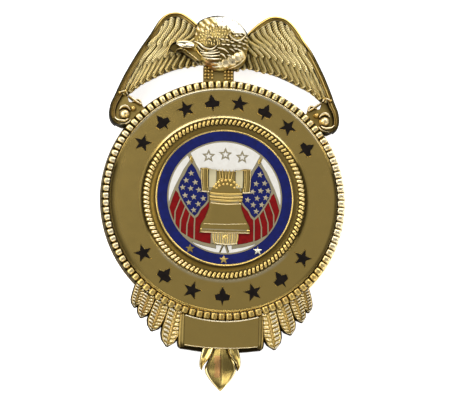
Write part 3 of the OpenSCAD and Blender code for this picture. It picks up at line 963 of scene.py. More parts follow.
def mark_edge(outline, grow):
    edge = plate([(x * grow, y * grow) for x, y in outline], 1.9, 2.1, step=UNCUT)
    choose(edge, lambda face: face.normal.z > FACE_UP)
    bpy.ops.mesh.inset(thickness=0.1)
    bpy.ops.transform.translate(value=(0, 0, -0.12))
    done()
    return edge


kinds = mark_edge(star_outline(2.2, 0.42), 1.07), mark_edge(sprig_outline(2.2), 1.06)
edges = []
for i, degrees in enumerate(UPPER_MARKS + LOWER_MARKS):
    upright = -degrees if i < len(UPPER_MARKS) else 180 - degrees
    edges.append(moved(twin(kinds[i % 2]), *polar(MARK_R, degrees), upright))
discard(*kinds)
finish(join(edges, "mark_edges"), "mark_edges", satin_gilt)

# %% [markdown]
# ## The wings
#
# Each wing is a plate with a plain hollow rim that ends in a scroll, and
# three rows of feathers that flow down from the rim, each row over the
# next. The right wing is modelled, and the left one is its mirror image
# before either is laid on the dome.

# %% Wing plates
WING_OUTLINE = [
    (2, 38), (5.6, 39.6), (8.2, 42.1), (10.3, 43.8), (11.8, 44.05), (13.7, 43.6), (15.4, 42), (17.9, 38),
    (19.9, 35.1), (21.8, 31.8), (23.6, 28.5), (25, 25.1), (25.9, 22.6), (26.4, 21), (26.7, 19.6), (26.4, 18.3),
    (25.9, 17.4), (25.1, 16.7), (24, 16.2), (22, 16.5), (17.5, 19.2), (19.2, 21.3), (19.6, 22.6), (20.3, 23.15),
    (20.9, 23), (21.6, 22.4), (22.4, 22.5), (22.8, 24), (21.6, 25.4), (19.9, 26.6), (17.5, 27.6), (15, 28.8),
    (12.3, 29.9), (9.8, 30.7), (7, 31.2), (4.7, 31.7), (3, 31.3), (1.5, 30.5),
]


def raised_foot(obj):
    """The left wing's lower edge lies a little higher than the right one's."""
    co = points(obj)
    co[:, 1] += 0.6 * np.clip((36 - co[:, 1]) / 4, 0, 1) * np.clip((22 + co[:, 0]) / 6, 0, 1)
    set_points(obj, co)


# The plate is painted darker, as shade where it shows between the feathers.
wing_plate = smear(plate(WING_OUTLINE, 0.1, 1.1, step=3.0), 0.35)
both_sides(wing_plate, "wing_plate", satin_gilt, painted_shade_gilt, raised_foot)

# %% [markdown]
# ## Wing rims
#
# The rim is a sunken band between an outer line and a soft inner lip. Its
# section is drawn once and follows the wing's edge. Its tone is painted
# light and shade: a painted highlight on the outer line, which ends part of
# the way down, sooner on the left wing, so each wing has a strip of its own,
# a painted highlight on the inner lip, a painted dark outline outside, and
# painted shade in the sunken band.

# %% Wing rims
RIM_PROFILE = [
    (-1, 0.0), (-0.95, 0.94), (-0.45, 1.0), (-0.38, 0.8), (-0.3, 0.5), (0, 0.38), (0.4, 0.4), (0.6, 0.62),
    (0.78, 0.74), (0.9, 0.5), (1, 0),
]
# Tones across the rim where its outer line has a painted highlight.
RIM_LIT = [
    (-1, 0.9), (-0.9, 0.2), (-0.42, 0.1), (-0.36, 0.5), (-0.3, 0.6), (0, 0.4), (0.5, 0.4), (0.6, -0.8),
    (0.84, -0.8), (0.92, 0.2), (1, 0.8),
]
# Tones across the rim where its outer line has no painted highlight.
RIM_UNLIT = [
    (-1, 1), (-0.52, 1), (-0.44, 0.6), (-0.3, 0.45), (0, 0.4), (0.5, 0.45), (0.6, -0.6), (0.84, -0.6), (0.92, 0.4),
    (1, 0.8),
]


def rim_strip(fade):
    """A rim whose outer line has a painted highlight up to a share of its length and none after it."""

    def dark(s, t):
        share = np.clip((t - fade) / 0.1, 0, 1)
        return np.interp(s, *zip(*RIM_LIT)) * (1 - share) + np.interp(s, *zip(*RIM_UNLIT)) * share

    return straight(24, 150, lambda s, t: np.interp(s, *zip(*RIM_PROFILE)), dark)


RIM_ROWS = [
    (5.0, 38.7, 0.35, 1.2, 2.3),
    *[(x, y, half, 1.2, 2.5) for x, y, half in (
        (5.8, 39.5, 0.5), (7.9, 41.4, 0.68), (10.25, 43.1, 0.72), (11.8, 43.5, 0.62), (13.6, 43.05, 0.64),
        (15.1, 41.5, 0.66), (17.05, 38.3, 0.66), (19, 35.3, 0.74), (20.95, 32.05, 0.74), (22.6, 29.05, 0.74),
        (24, 25.95, 0.74), (24.95, 23.7, 0.7), (25.75, 22, 0.66), (26.1, 20.5, 0.6), (26.15, 19.3, 0.58),
        (25.8, 18.1, 0.55), (25, 17.25, 0.5),
    )],
    (24, 16.85, 0.42, 1.2, 2.4), (23.1, 16.9, 0.3, 1.2, 2.2),
]
rim_strips = rim_strip(0.4), rim_strip(0.27)
rim_right, rim_twin = [bent(strip, RIM_ROWS, foot=0.9) for strip in rim_strips]
rim_left = mirrored(rim_twin)
discard(*rim_strips, rim_twin)
finish(rim_right, "wing_rim_right", border_gilt, side=painted_shade_gilt)
finish(rim_left, "wing_rim_left", border_gilt, side=painted_shade_gilt)

# %% [markdown]
# ## The painted dark outline
#
# A thin near-black line runs outside the rims and the head. It is painted
# shade: a dark strip that stands for the dark edge of the rounded rim. A
# bevel on the plate could carry it, but it is wider in some places than in
# others, so it is a thin strip of its own outside the rims and the head.

# %% The painted dark outline
edge_line = smear(straight(4, 120, arch), 0.9)
outer = smooth([(x, y, half) for x, y, half, _, _ in RIM_ROWS[:-2]], 40)


def painted_outline(widths):
    """The thin painted dark outline outside a rim, wider where the rim's outer line has no painted highlight."""
    half = np.interp(np.linspace(0, 1, len(outer)), *zip(*widths))
    rows = []
    for (x, y, own), (dx, dy), h in zip(outer, heading(outer), half):
        out = own + h * 0.5
        rows.append((x - dy * out, y + dx * out, h, 0.9, 2.2))
    return bent(edge_line, rows, foot=0.1)


outline_right = painted_outline([(0, 0.08), (0.4, 0.08), (0.5, 0.16), (1, 0.16)])
outline_plain = painted_outline([(0, 0.08), (0.26, 0.08), (0.34, 0.17), (1, 0.17)])
outline_left = mirrored(outline_plain)
HEAD_LINE = [
    (-7.3, 40.4), (-6.6, 41.6), (-5.7, 42.35), (-4.3, 43.0), (-2.4, 43.5), (-0.65, 43.4), (1.7, 42.65),
    (3.1, 41.75), (4.3, 40.5), (5.1, 39.3),
]
outline_head = bent(edge_line, [(x, y, 0.08, 1.2, 2.7) for x, y in HEAD_LINE], foot=0.1)
discard(edge_line, outline_plain)
finish(join([outline_right, outline_left, outline_head], "painted_outline"), "painted_dark_outline", painted_shade_gilt)

# %% [markdown]
# ## Scrolls
#
# Each rim ends in a scroll: a ball inside a few short curled ridges. The
# ball starts as a sphere that is cut through its middle, closed and
# flattened, and the ridges are bent copies of the round strip.

# %% Mounds
def mound(x, y, half, low, high, rings=12):
    """A rounded boss: a sphere flattened to size, cut off below and closed."""
    deselect()
    bpy.ops.mesh.primitive_uv_sphere_add(segments=2 * rings, ring_count=rings, radius=1)
    boss = bpy.context.object
    whole(boss)
    bpy.ops.mesh.bisect(plane_co=(0, 0, 0), plane_no=(0, 0, 1), use_fill=True, clear_inner=True)
    done()
    co = points(boss) * (half[0], half[1], high - low) + (x, y, low)
    set_points(boss, co)
    return boss


print("a mound is half a sphere, cut and closed")

# %% Scrolls
BOSSES = [
    (23.5, 19.5, (1.3, 1.3), 1.1, 2.5), (23.0, 18.85, (0.45, 0.45), 2.1, 2.75, 8),
    (21.5, 20.9, (0.7, 0.6), 1.1, 2.3, 8),
    (24.75, 24.5, (0.36, 0.36), 1.7, 2.75, 8), (23.35, 24.95, (0.42, 0.42), 1.5, 2.7, 8),
]
SCROLL_RIDGES = [
    [
        (25.7, 18.6, 0.12, 2, 2.2), (25.1, 17.95, 0.3, 1.9, 2.5), (24.1, 17.7, 0.36, 1.9, 2.6),
        (23.2, 17.75, 0.32, 1.9, 2.5), (22.6, 18.2, 0.12, 1.9, 2.2),
    ],
    [
        (24.9, 16.75, 0.1, 1.5, 1.7), (24.2, 16.9, 0.22, 1.5, 2.1), (23.3, 17.05, 0.26, 1.5, 2.1),
        (22.4, 17.5, 0.24, 1.5, 2), (22, 18.1, 0.1, 1.5, 1.8),
    ],
    [
        (24.6, 20.5, 0.12, 2, 2.2), (24.2, 21.05, 0.34, 1.9, 2.6), (23.4, 21.3, 0.42, 1.9, 2.7),
        (22.7, 21, 0.34, 1.9, 2.6), (22.1, 20.3, 0.12, 1.9, 2.2),
    ],
    [
        (24.95, 24.4, 0.2, 1.9, 2.5), (24.1, 24.8, 0.28, 1.9, 2.6), (23.3, 24.9, 0.28, 1.8, 2.5),
        (22.85, 24.2, 0.2, 1.5, 2.1),
    ],
    [
        (22.6, 23.95, 0.2, 1.3, 2.1), (21.6, 23.2, 0.3, 1.4, 2.3), (20.9, 22.65, 0.3, 1.4, 2.3),
        (20.3, 22.25, 0.3, 1.4, 2.2), (19.5, 21.8, 0.2, 1.3, 2),
    ],
    [
        (19.6, 22, 0.14, 1.1, 1.6), (19.9, 22.8, 0.3, 1.1, 1.9), (20.4, 23, 0.3, 1.1, 1.9),
        (21.2, 22.7, 0.25, 1.1, 1.8), (21.7, 22.4, 0.1, 1.1, 1.5),
    ],
]
scroll = [bent(round_strip, rows) for rows in SCROLL_RIDGES[:3]]
scroll += [mound(*boss) for boss in BOSSES]
scroll += [bent(round_strip, rows) for rows in SCROLL_RIDGES[3:]]
ball, knob = scroll[3:5]
# The ball gets a painted highlight and the knob a little painted shade.
smear(ball, -0.35)
smear(knob, 0.2)
both_sides(join(scroll, "scroll"), "wing_scroll", border_gilt)

# %% [markdown]
# ## Feathers
#
# A struck feather is a long blade with a shaft along it and fine slanted
# ribs, the barbs. The straight blade is ribbed first, and each feather of a
# row is a bent copy. The shorter coverts lie over the longer flight
# feathers. Each blade's tone paints its light and shade: a highlight along
# the flank that faces the lamps, shade on its other side, in its grooves
# and in the gaps, and the coverts are painted brightest.

# %% Ribbed blades
def blade(ribs, depth, grooves, dull, tip, grain=0.7, across=16):
    """A ribbed blade that is high on one side, so that its neighbour lies under it."""

    def barbs(s, t):
        return np.cos(2 * math.pi * (t * ribs - np.abs(s + 0.3) * 1.2))

    def height(s, t):
        lean = np.interp(s, [-1, -0.88, -0.66, 0.2, 0.84, 1], [0.2, 0.8, 0.92, 0.66, 0.4, 0.1])
        shaft = np.exp(-(((s + 0.3) / 0.12) ** 2)) * 0.14
        return lean + barbs(s, t) * depth * (1 - np.abs(s) ** 4) + shaft - furrow(s) * 0.2

    def furrow(s):
        return (0.5 - 0.5 * np.cos(math.pi * grooves * (s + 1))) ** 2 if grooves else 0 * s

    # Painted light and shade: a highlight on the lit flank, shade at the edges, grooves and tip, and light and dark
    # barbs.
    def dark(s, t):
        body = np.interp(
            s, [-1, -0.86, -0.74, -0.1, 0.25, 0.6, 0.92, 1],
            [1.2, 0.6, -1.7, -1.4 + dull, dull - 0.1, 0.5, 1.1, 1.3],
        )
        lip = np.interp(t, [0, 0.12, 0.9, 0.94, 0.97, 0.985, 1], [0.3, 0, 0, tip, tip, 0.9, 1])
        return body + 0.45 - grain * barbs(s, t) + furrow(s) * 0.6 + lip

    return straight(across, ribs * 5, height, dark)


covert = blade(15, 0.12, 0, -0.4, -0.4, 0.95)
flight = blade(22, 0.12, 3, 0.28, -1.2, 0.95)
middle = blade(18, 0.1, 2, 0, -0.1, 0.85)
print("blades:", [len(strip.data.polygons) for strip in (covert, flight, middle)], "faces")

# %% Rows of feathers
SHAPE = (
    (0, 1.0, 0, 0.1), (0.3, 1, 0.8, 0), (0.6, 1, 0.4, 0), (0.86, 0.92, -0.2, 0.05), (0.95, 0.6, -0.1, 0.1),
    (1, 0.2, 0, 0.25),
)


def feather(strip, root, tip, half, low, high, bow, foot=0.9):
    """One feather from its root to its tip, bowed sideways by a share of its length."""
    (x0, y0), (x1, y1) = root, tip
    dx, dy = x1 - x0, y1 - y0
    rows = []
    for t, w, b, drop in SHAPE:
        rows.append(
            (x0 + dx * t - dy * b * bow, y0 + dy * t + dx * b * bow, half * w, low - drop, high - drop * 1.6)
        )
    return bent(strip, rows, foot)


def fan_out(strip, roots, tips, count, half, low, high, bow):
    """A row of feathers between a line of roots and a line of tips, wider towards the rim."""
    row = []
    for k, (root, tip) in enumerate(zip(smooth(roots, count), smooth(tips, count))):
        row.append(feather(strip, root, tip, half * (0.85 + 0.3 * k / count), low + 0.02 * (k % 2), high, bow))
    return row


ROOTS_3 = [(2.6, 33.4), (4.6, 34.6), (6.8, 35), (10.1, 34.6), (14.2, 33.7), (17.1, 32.9), (20.4, 30.9)]
TIPS_3 = [
    (2.6, 30.6), (5.4, 31.2), (7.6, 30.7), (9.5, 30.3), (11.8, 30), (14.2, 29.1), (16.8, 27.8), (20, 26.3),
    (22.3, 24.6), (23.7, 23.9),
]
ROOTS_2 = [(4.6, 37.3), (6.4, 37.7), (8.4, 37.9), (10.9, 37.8), (13.5, 37.8), (16.1, 37.8)]
TIPS_2 = [(7.0, 33.9), (10.2, 33.6), (12.8, 32.9), (15.2, 32.2), (17.9, 31.0), (19.8, 31.4)]
ROOTS_1 = [(4.6, 38.6), (6.5, 39.95), (8.25, 41.3), (9.85, 42.4), (11.6, 42.9), (13.1, 42.5), (14.5, 40.6)]
TIPS_1 = [(7.6, 35.9), (9.7, 36.2), (11.9, 35.9), (14.2, 35.5), (16.2, 35.7), (17.4, 36.2), (18.0, 35.4)]
ROOTS_RIM = [(13.3, 41.95), (16.05, 37.8), (18.15, 34.3), (20.05, 31.1), (21.7, 28.3)]
TIPS_RIM = [(16.35, 37.5), (18.45, 33.75), (20.45, 30.2), (22.1, 27.1), (23.35, 24.5)]

right_feathers = {
    "flight_feathers": fan_out(flight, ROOTS_3, TIPS_3, 15, 0.84, 1.1, 1.85, -0.06),
    "middle_feathers": fan_out(middle, ROOTS_2, TIPS_2, 10, 0.76, 1.35, 2.2, -0.08),
    "covert_feathers": fan_out(covert, ROOTS_1, TIPS_1, 9, 0.74, 1.4, 2.45, -0.1)
    + fan_out(covert, ROOTS_RIM, TIPS_RIM, 7, 0.42, 1.4, 2.1, 0.02),
}
for title, row in right_feathers.items():
    both_sides(join(row, title), title, plume_gilt, fit=raised_foot)

# %% [markdown]
# ## The head
#
# The eagle looks to the left. The head is a rounded mass first, made of a
# few mounds that a voxel remesh melts into one and a smoothing softens.
# The feathers, the beak and the cheek are then laid on it as strips whose
# height is read from the mass under them.

# %% Head mass
def drum(x, y, half, high):
    """A low cylinder with an oval outline."""
    deselect()
    bpy.ops.mesh.primitive_cylinder_add(vertices=48, radius=1, depth=1)
    body = bpy.context.object
    set_points(body, (points(body) + (0, 0, 0.5)) * (half[0], half[1], high - 0.1) + (x, y, 0.1))
    return body


# Middle, half widths and top of each drum, then the mounds on it with their foot, top and rings.
LUMPS = [
    (
        (-1.1, 37.2, (6.45, 6.4), 2.5), (-1.1, 37.15, (6.4, 6.35), 2.1, 4.3, 20),
        (-3.4, 37.3, (3.6, 3.2), 2.5, 4.75, 16),
    ),
    ((-3.3, 39.6, (3.85, 3.6), 2.4), (-3.3, 39.6, (3.85, 3.6), 2.1, 3.8, 16)),
    ((-6.5, 35.9, (1.9, 1.5), 2.9), (-6.5, 35.9, (1.8, 1.5), 2.6, 3.9, 12)),
    ((1.4, 33.9, (3.4, 3.0), 2.3), (1.4, 33.9, (3.4, 3.0), 1.9, 3.8, 16)),
    ((-3.3, 33.7, (3.0, 2.5), 2.6), (-3.3, 33.7, (3.0, 2.5), 2.3, 4.0, 16)),
    ((-1.6, 31.9, (3.2, 1.6), 1.9), (-1.6, 31.9, (3.2, 1.6), 1.6, 2.8, 12)),
]
lumps = []
for low_part, *domes in LUMPS:
    lumps.append(drum(*low_part))
    lumps += [mound(*dome) for dome in domes]
mass = join(lumps, "head_mass")
modify(mass, "REMESH", mode="VOXEL", voxel_size=0.2)
modify(mass, "SMOOTH", factor=0.5, iterations=8)
crown_x, crown_y = zip(*[
    (-4.4, 43.4), (-2.6, 41.6), (-1.95, 41.1), (-1, 40.6), (0.1, 40.8), (1, 40.0), (2, 39.3), (3.1, 39.2),
    (3.8, 39.4), (5, 39.2),
])


def crown_line(x):
    """Where the painted highlight of the crown ends above the face."""
    return np.interp(x, crown_x, crown_y)


co = points(mass)
# Painted light: the crown above that line gets a painted highlight, the rest of the mass painted shade, darker on
# the right.
bright = (co[:, 1] > crown_line(co[:, 0])) & (co[:, 2] > 2)
darken(mass, np.where(bright, -0.9, np.where(co[:, 0] > 0, 0.8, 0.68)))
print("head mass:", len(mass.data.polygons), "faces")

# %% [markdown]
# ## Feathers of the nape
#
# The feathers on the head are too small for the wing's blades. Each is a
# lancet, a strip with a painted highlight down its middle and painted shade
# at its edges and root, that is laid on the mass: a ray cast straight down
# gives the height under each point, and the strip stands up from there by
# its own rise.

# %% Laying a strip on the head
def top_of(obj, x, y, otherwise):
    """Height of a piece straight below a point, or another number past its edge."""
    hit, where, _, _ = obj.ray_cast(Vector((x, y, 50)), Vector((0, 0, -1)))
    return where.z if hit else otherwise


def laid(strip, rows, rise, sink=0.12, edge=1.4):
    """A strip along rows of x, y and half width that follows the head and stands up by rise."""
    piece = bent(strip, [(x, y, half, 0, 1) for x, y, half in rows], foot=-1)
    co = points(piece)
    for point in co:
        if point[2] < -0.5:
            point[2] = 0.1
        else:
            point[2] = top_of(mass, point[0], point[1], edge) - sink + point[2] * (rise + sink)
    set_points(piece, co)
    return piece


print("the head is", round(top_of(mass, -3.4, 37.3, 0), 2), "mm high at the cheek")

# %% Nape
lancet = straight(
    8, 12, lambda s, t: (1 - np.abs(s) ** 3 * 0.9) * np.interp(t, [0, 0.3, 0.8, 1], [0.5, 1, 0.95, 0.5]),
    lambda s, t: np.interp(np.abs(s), [0, 0.4, 0.72, 1], [-0.7, -0.4, 0, 0.95]) + np.interp(t, [0, 0.2], [0.8, 0]),
)

# Root, tip and half width of each feather, then the places of the dark flecks.
NAPE = [
    ((-6.3, 39.5), (-7.25, 40.9), 0.42), ((-5.1, 40.2), (-6.3, 41.85), 0.44), ((-3.8, 40.7), (-5.1, 42.55), 0.56),
    ((-2.4, 41.2), (-3.7, 43.0), 0.5), ((-5.3, 39.0), (-6.1, 40.1), 0.34), ((-4.1, 39.5), (-4.9, 40.6), 0.36),
    ((-2.9, 40.1), (-3.6, 41.2), 0.36), ((-1.6, 40.2), (-2.3, 41.3), 0.34), ((-0.5, 39.9), (-1.0, 40.8), 0.3),
    ((0.4, 39.5), (0.1, 40.5), 0.26), ((1.4, 38.9), (1.1, 39.9), 0.26), ((-6.9, 38.4), (-7.3, 39.3), 0.34),
]

FLECKS = [
    (-2.3, 42.3), (-0.95, 41.8), (0.0, 40.9), (-2.1, 43.1), (-0.9, 43.0), (1.5, 42.3), (2.9, 41.4), (2.4, 40.4),
]
LANCET = ((0, 0.5), (0.35, 0.95), (0.7, 1), (0.92, 0.75), (1, 0.4))
nape = []
for (x0, y0), (x1, y1), half in NAPE:
    nape.append(laid(lancet, [(x0 + (x1 - x0) * t, y0 + (y1 - y0) * t, half * w) for t, w in LANCET], 0.34))
dark_strip = smear(twin(round_strip), 1)
for x, y in FLECKS:
    nape.append(laid(dark_strip, [(x - 0.2, y + 0.2, 0.05), (x, y, 0.11), (x + 0.18, y - 0.25, 0.05)], 0.05))
nape_feathers = join(nape, "nape")
print("nape:", len(NAPE), "feathers")

# %% [markdown]
# ## Scales of the face
#
# The face is covered with tiny scales in rough rows. A particle system could
# scatter them, but here they follow rows with a little seeded chance in
# place, lean and length, as a die maker's punch does.

# %% Scales of the face
# Each scale's tone paints shade at its edges and its root.
scale = straight(
    6, 6, lambda s, t: (1 - s * s * 0.8) * np.interp(t, [0, 0.6, 1], [0.3, 1, 0.6]),
    lambda s, t: np.interp(np.abs(s), [0, 0.6, 1], [-0.05, 0.3, 0.95]) + np.interp(t, [0, 0.35], [0.7, 0]),
)


def above_cheek(x, y):
    return y > np.interp(x, [-7, -5.8, -4.9, -2.6, -1, 2], [37.2, 36.2, 35.6, 36, 36.4, 37.4])


dice = np.random.default_rng(4)
face = []
for y in np.arange(36.2, 40.9, 0.74):
    for x in np.arange(-7.6, 2.6, 0.66):
        x1, y1 = x + dice.uniform(-0.2, 0.2), y + dice.uniform(-0.2, 0.2)
        lean = math.radians(np.interp(x1, [-7, -3, 2], [130, 105, 75]) + dice.uniform(-15, 15))
        length = dice.uniform(0.26, 0.42)
        if not above_cheek(x1, y1) or y1 > crown_line(x1) - 0.4 or np.hypot(x1 + 1.1, y1 - 37.2) > 5.7:
            continue
        dx, dy = length * math.cos(lean), length * math.sin(lean)
        face.append(laid(scale, [(x1 - dx, y1 - dy, 0.16), (x1, y1, 0.28), (x1 + dx, y1 + dy, 0.18)], 0.34))
face_scales = join(face, "scales")

print("scales:", len(face))

# %% [markdown]
# ## Streaks of the cheek
#
# Below the eye the feathers run in long streaks, with short tufts behind
# them. Each streak is given as a rise and a few points of a line, and the
# same strip is laid along them all, with a painted highlight down its middle
# and painted shade at its edges.

# %% Streaks of the cheek
STREAKS = [
    (
        0.75,
        [
            (-7.7, 36.9, 0.12), (-6.6, 36.3, 0.26), (-5.8, 35.6, 0.28), (-4.9, 35.1, 0.3), (-3.9, 34.9, 0.28),
            (-3.1, 35.15, 0.24), (-2.5, 35.7, 0.12),
        ],
    ),
    (0.5, [(-6.9, 35.7, 0.12), (-6.2, 35.0, 0.22), (-5.3, 34.6, 0.14)]),
    (0.5, [(-4.3, 34.45, 0.14), (-3.2, 34.55, 0.24), (-2.2, 34.9, 0.12)]),
    (0.65, [(-6.2, 34.4, 0.16), (-5, 34.05, 0.34), (-3.6, 34.0, 0.34), (-1.7, 34.3, 0.14)]),
    (0.6, [(-5.9, 33.75, 0.14), (-4.3, 33.35, 0.3), (-3, 33.4, 0.28), (-1.6, 33.6, 0.12)]),
    (0.55, [(-5.6, 33.15, 0.1), (-4.4, 32.75, 0.24), (-3.0, 32.7, 0.26), (-1.3, 32.8, 0.12)]),
    (0.3, [(-3.4, 31.9, 0.1), (-2.3, 31.85, 0.2), (-1.5, 32.1, 0.1)]),
    (0.3, [(-3.3, 31.2, 0.1), (-2.2, 31.1, 0.24), (-1.2, 31.6, 0.1)]),
    (0.6, [(-2.2, 35.3, 0.12), (-1.3, 35.15, 0.27), (-0.5, 34.9, 0.24), (0.4, 34.2, 0.12)]),
    (0.5, [(0.6, 35.2, 0.1), (1.2, 35.0, 0.22), (1.9, 34.5, 0.1)]),
    (0.55, [(-1.6, 34.0, 0.12), (-0.9, 33.75, 0.26), (-0.2, 33.0, 0.12)]),
    (0.5, [(0, 33.75, 0.1), (0.6, 33.65, 0.22), (1.2, 33.4, 0.1)]),
    (
        0.6,
        [
            (0.4, 38.6, 0.1), (1.1, 37.8, 0.22), (2, 37.25, 0.27), (3.2, 37.4, 0.27), (4.0, 38.2, 0.2),
            (4.6, 38.9, 0.12),
        ],
    ),
]
bright_strip = twin(round_strip)
# A painted highlight down the middle, painted shade at the edges.
darken(bright_strip, np.interp(np.abs(points(bright_strip)[:, 0]), [0, 0.7, 1], [-0.9, -0.6, 0.7]))
TUFTS = [
    (0, 37.2), (0.2, 36.1), (1.6, 36.0), (2.9, 36.0), (4.0, 36.7), (4.3, 35.6), (3.0, 35.1), (2.1, 35.3),
    (1.2, 36.8), (-0.9, 36.1), (-1.2, 37.3), (3.0, 36.9), (3.3, 38.6), (4.5, 37.5), (2.3, 38.4), (4.9, 38.3),
    (4.2, 39.1), (1.7, 39.0), (5.0, 36.5),
]
streaks = [laid(bright_strip, rows, rise) for rise, rows in STREAKS]
for x, y in TUFTS:
    streaks.append(laid(bright_strip, [(x - 0.5, y + 0.16, 0.1), (x, y, 0.24), (x + 0.5, y + 0.02, 0.1)], 0.45))
COLLAR = [(4.9, 35.0, 0.1), (4.6, 33.8, 0.2), (3.6, 32.5, 0.22), (2.2, 31.5, 0.22), (0.6, 30.9, 0.1)]
streaks.append(laid(round_strip, COLLAR, 0.1, edge=2.0))
streaks = join(streaks, "streaks")
print("streaks and tufts:", len(STREAKS), len(TUFTS))

# %% [markdown]
# ## Throat and eye
#
# The throat is a row of ribbed lobes under the cheek. Their ribs are waves
# in the strip's own height and tone, so that one strip serves all five. The
# eye is a small boss under a curved lid.

# %% Throat and eye
RIBS = (2.5, 4)


def ribs(s, t):
    """Waves that run aslant over a lobe, from 0 to 1."""
    return np.cos(math.pi * (RIBS[0] * s - RIBS[1] * t)) ** 2


# The tone paints shade in the grooves between the ribs and at each lobe's edges and ends.
lobe = straight(
    16, 12,
    lambda s, t: (1 - np.abs(s) ** 3 * 0.5 - 0.22 * ribs(s, t))
    * np.interp(t, [0, 0.3, 0.85, 1], [0.4, 0.9, 1, 0.3]),
    lambda s, t: 1.8 * ribs(s, t) - 1.25 + np.interp(np.abs(s), [0.8, 1], [0, 1])
    + np.interp(t, [0, 0.15, 0.85, 1], [0.5, 0, 0, 0.6]),
)
LOBES = [
    (3.3, 35.1, 4.0, 33.2, 0.62), (2.3, 34.4, 3.0, 32.4, 0.8), (1.0, 33.7, 1.5, 31.4, 0.95),
    (-0.3, 32.9, -0.2, 30.9, 0.8), (-1.4, 32.3, -1.6, 30.8, 0.6),
]
lobes = []
for x, y, tip_x, tip_y, half in LOBES:
    mid = ((x + tip_x) / 2, (y + tip_y) / 2)
    lobes.append(laid(lobe, [(x, y, half * 0.8), (*mid, half * 1.2), (tip_x, tip_y, half * 0.75)], 0.3))
lobes.append(laid(dark_strip, [(1.3, 32.35, 0.05), (1.4, 32.2, 0.12), (1.5, 32.1, 0.05)], 0.6))
lobes = join(lobes, "lobes")

eye_top = top_of(mass, -4.1, 37.1, 4)
eye = join(
    [
        laid(round_strip, [(-4.8, 37.3, 0.08), (-4.5, 37.75, 0.14), (-3.9, 37.85, 0.16), (-3.4, 37.4, 0.1)], 0.35),
        mound(-4.1, 37.15, (0.32, 0.28), eye_top - 0.1, eye_top + 0.3, 8),
    ],
    "eye",
)

print("eye at a height of", round(eye_top, 2), "mm")

# %% [markdown]
# ## Finishing the head
#
# The crown faces the lamps and gets the frosted gilt, whose pale colour
# paints its highlight, and the throat gets the red-tinted gilt, which paints
# a warm red reflection.
# Both are part of the same casting, so they are the same piece with other
# material slots, chosen by the place of each face.

# %% Finishing the head
RED_REFLECTION_TOP, RED_REFLECTION_LEFT, RED_REFLECTION_RIGHT = 32.6, -5, -2.4
CROWN_LEFT, UPWARD = -3.2, 0.4
head = finish(join([mass, face_scales], "head"), "head_crown", feather_gilt)
head.data.materials.append(frosted_highlight_gilt)
head.data.materials.append(red_reflection_gilt)
for part in head.data.polygons:
    x, y = part.center.x / MM, part.center.y / MM
    # Upward faces of the crown get the painted highlight, a patch of the throat the painted red reflection.
    frosted = y > crown_line(x) and x > CROWN_LEFT and part.normal.z > UPWARD
    part.material_index = 1 if frosted else 2 * (y < RED_REFLECTION_TOP and RED_REFLECTION_LEFT < x < RED_REFLECTION_RIGHT)
finish(nape_feathers, "nape_feathers", border_gilt)
finish(join([streaks, eye], "cheeks"), "cheek_feathers", border_gilt)
finish(lobes, "throat_feathers", border_gilt)

# %% [markdown]
# ## Beak
#
# The beak is open: a boss for the nostril, a hooked upper ridge, two
# ridges for the lower half, and a recess between them. The boss and the
# ridges carry painted highlights, the slit and the line of the jaw are
# painted dark as shade, and the recess gets painted shade that deepens
# towards the tip. A mound gives the boss, tilted by raising its points on
# one side, and bent strips give the rest.

# %% Beak
NOSTRIL = (-9.6, 36.2, -6)
upper = mound(0, 0, (2.2, 1.0), 3.55, 4.15, 16)
co = points(upper)
co[:, 2] += 0.06 * co[:, 0] - 0.45 * co[:, 1]
set_points(upper, co)
# A painted highlight on the boss.
smear(moved(upper, *NOSTRIL), -0.9)
SLIT = [(-10.6, 36.55, 0.04, 3.6, 3.95), (-9.7, 36.45, 0.16, 3.7, 4.1), (-8.8, 36.25, 0.04, 3.8, 4.15)]
BEAK_RIDGES = [
    [
        (-11.3, 36.7, 0.12, 1.5, 3.9), (-12.2, 36.7, 0.26, 1.5, 3.6), (-13.0, 36.1, 0.24, 1.5, 3.4),
        (-13.4, 35.2, 0.22, 1.5, 3.2), (-13.8, 34.3, 0.2, 1.5, 3.0), (-13.9, 33.7, 0.08, 1.5, 2.7),
    ],
    [
        (-12.2, 34.0, 0.1, 1.5, 3.0), (-11.8, 34.7, 0.26, 1.5, 3.4), (-11.1, 35.15, 0.3, 1.5, 3.6),
        (-10.3, 35.1, 0.26, 1.5, 3.6), (-9.8, 34.8, 0.14, 1.5, 3.5),
    ],
    [
        (-9.9, 35.0, 0.14, 1.5, 3.6), (-9.2, 34.5, 0.24, 1.5, 3.6), (-8.0, 33.65, 0.26, 1.5, 3.5),
        (-6.9, 32.85, 0.24, 1.5, 3.4), (-6.5, 32.5, 0.1, 1.5, 3.2),
    ],
    [(-7.5, 35.7, 0.12, 2, 3.9), (-6.9, 34.8, 0.2, 2, 3.9), (-6.3, 34.0, 0.2, 2, 3.8), (-5.4, 33.2, 0.12, 2, 3.6)],
]
JAW = [
    (-11.4, 34.3, 0.1, 1.5, 2.8), (-10.4, 34.5, 0.18, 1.5, 3.1), (-9.4, 33.95, 0.2, 1.5, 3.1),
    (-8.2, 33.1, 0.2, 1.5, 3.0), (-7.0, 32.2, 0.2, 1.5, 2.8), (-6.4, 31.8, 0.1, 1.5, 2.6),
]
beak = [upper, bent(dark_strip, SLIT, foot=3.5)]
beak += [bent(bright_strip, rows) for rows in BEAK_RIDGES]
beak.append(bent(dark_strip, JAW))
finish(join(beak, "beak"), "beak", bright_gilt)

MOUTH = [
    (-6.0, 35.6), (-7.6, 35.8), (-11.4, 36.4), (-12.9, 36.1), (-13.3, 35.1), (-12.3, 34.4), (-11.7, 34.5),
    (-10.6, 34.8), (-9.4, 34.0), (-7.2, 32.4), (-5.6, 32.6),
]
mouth = plate(MOUTH, 0.9, 2.9, step=1.0)
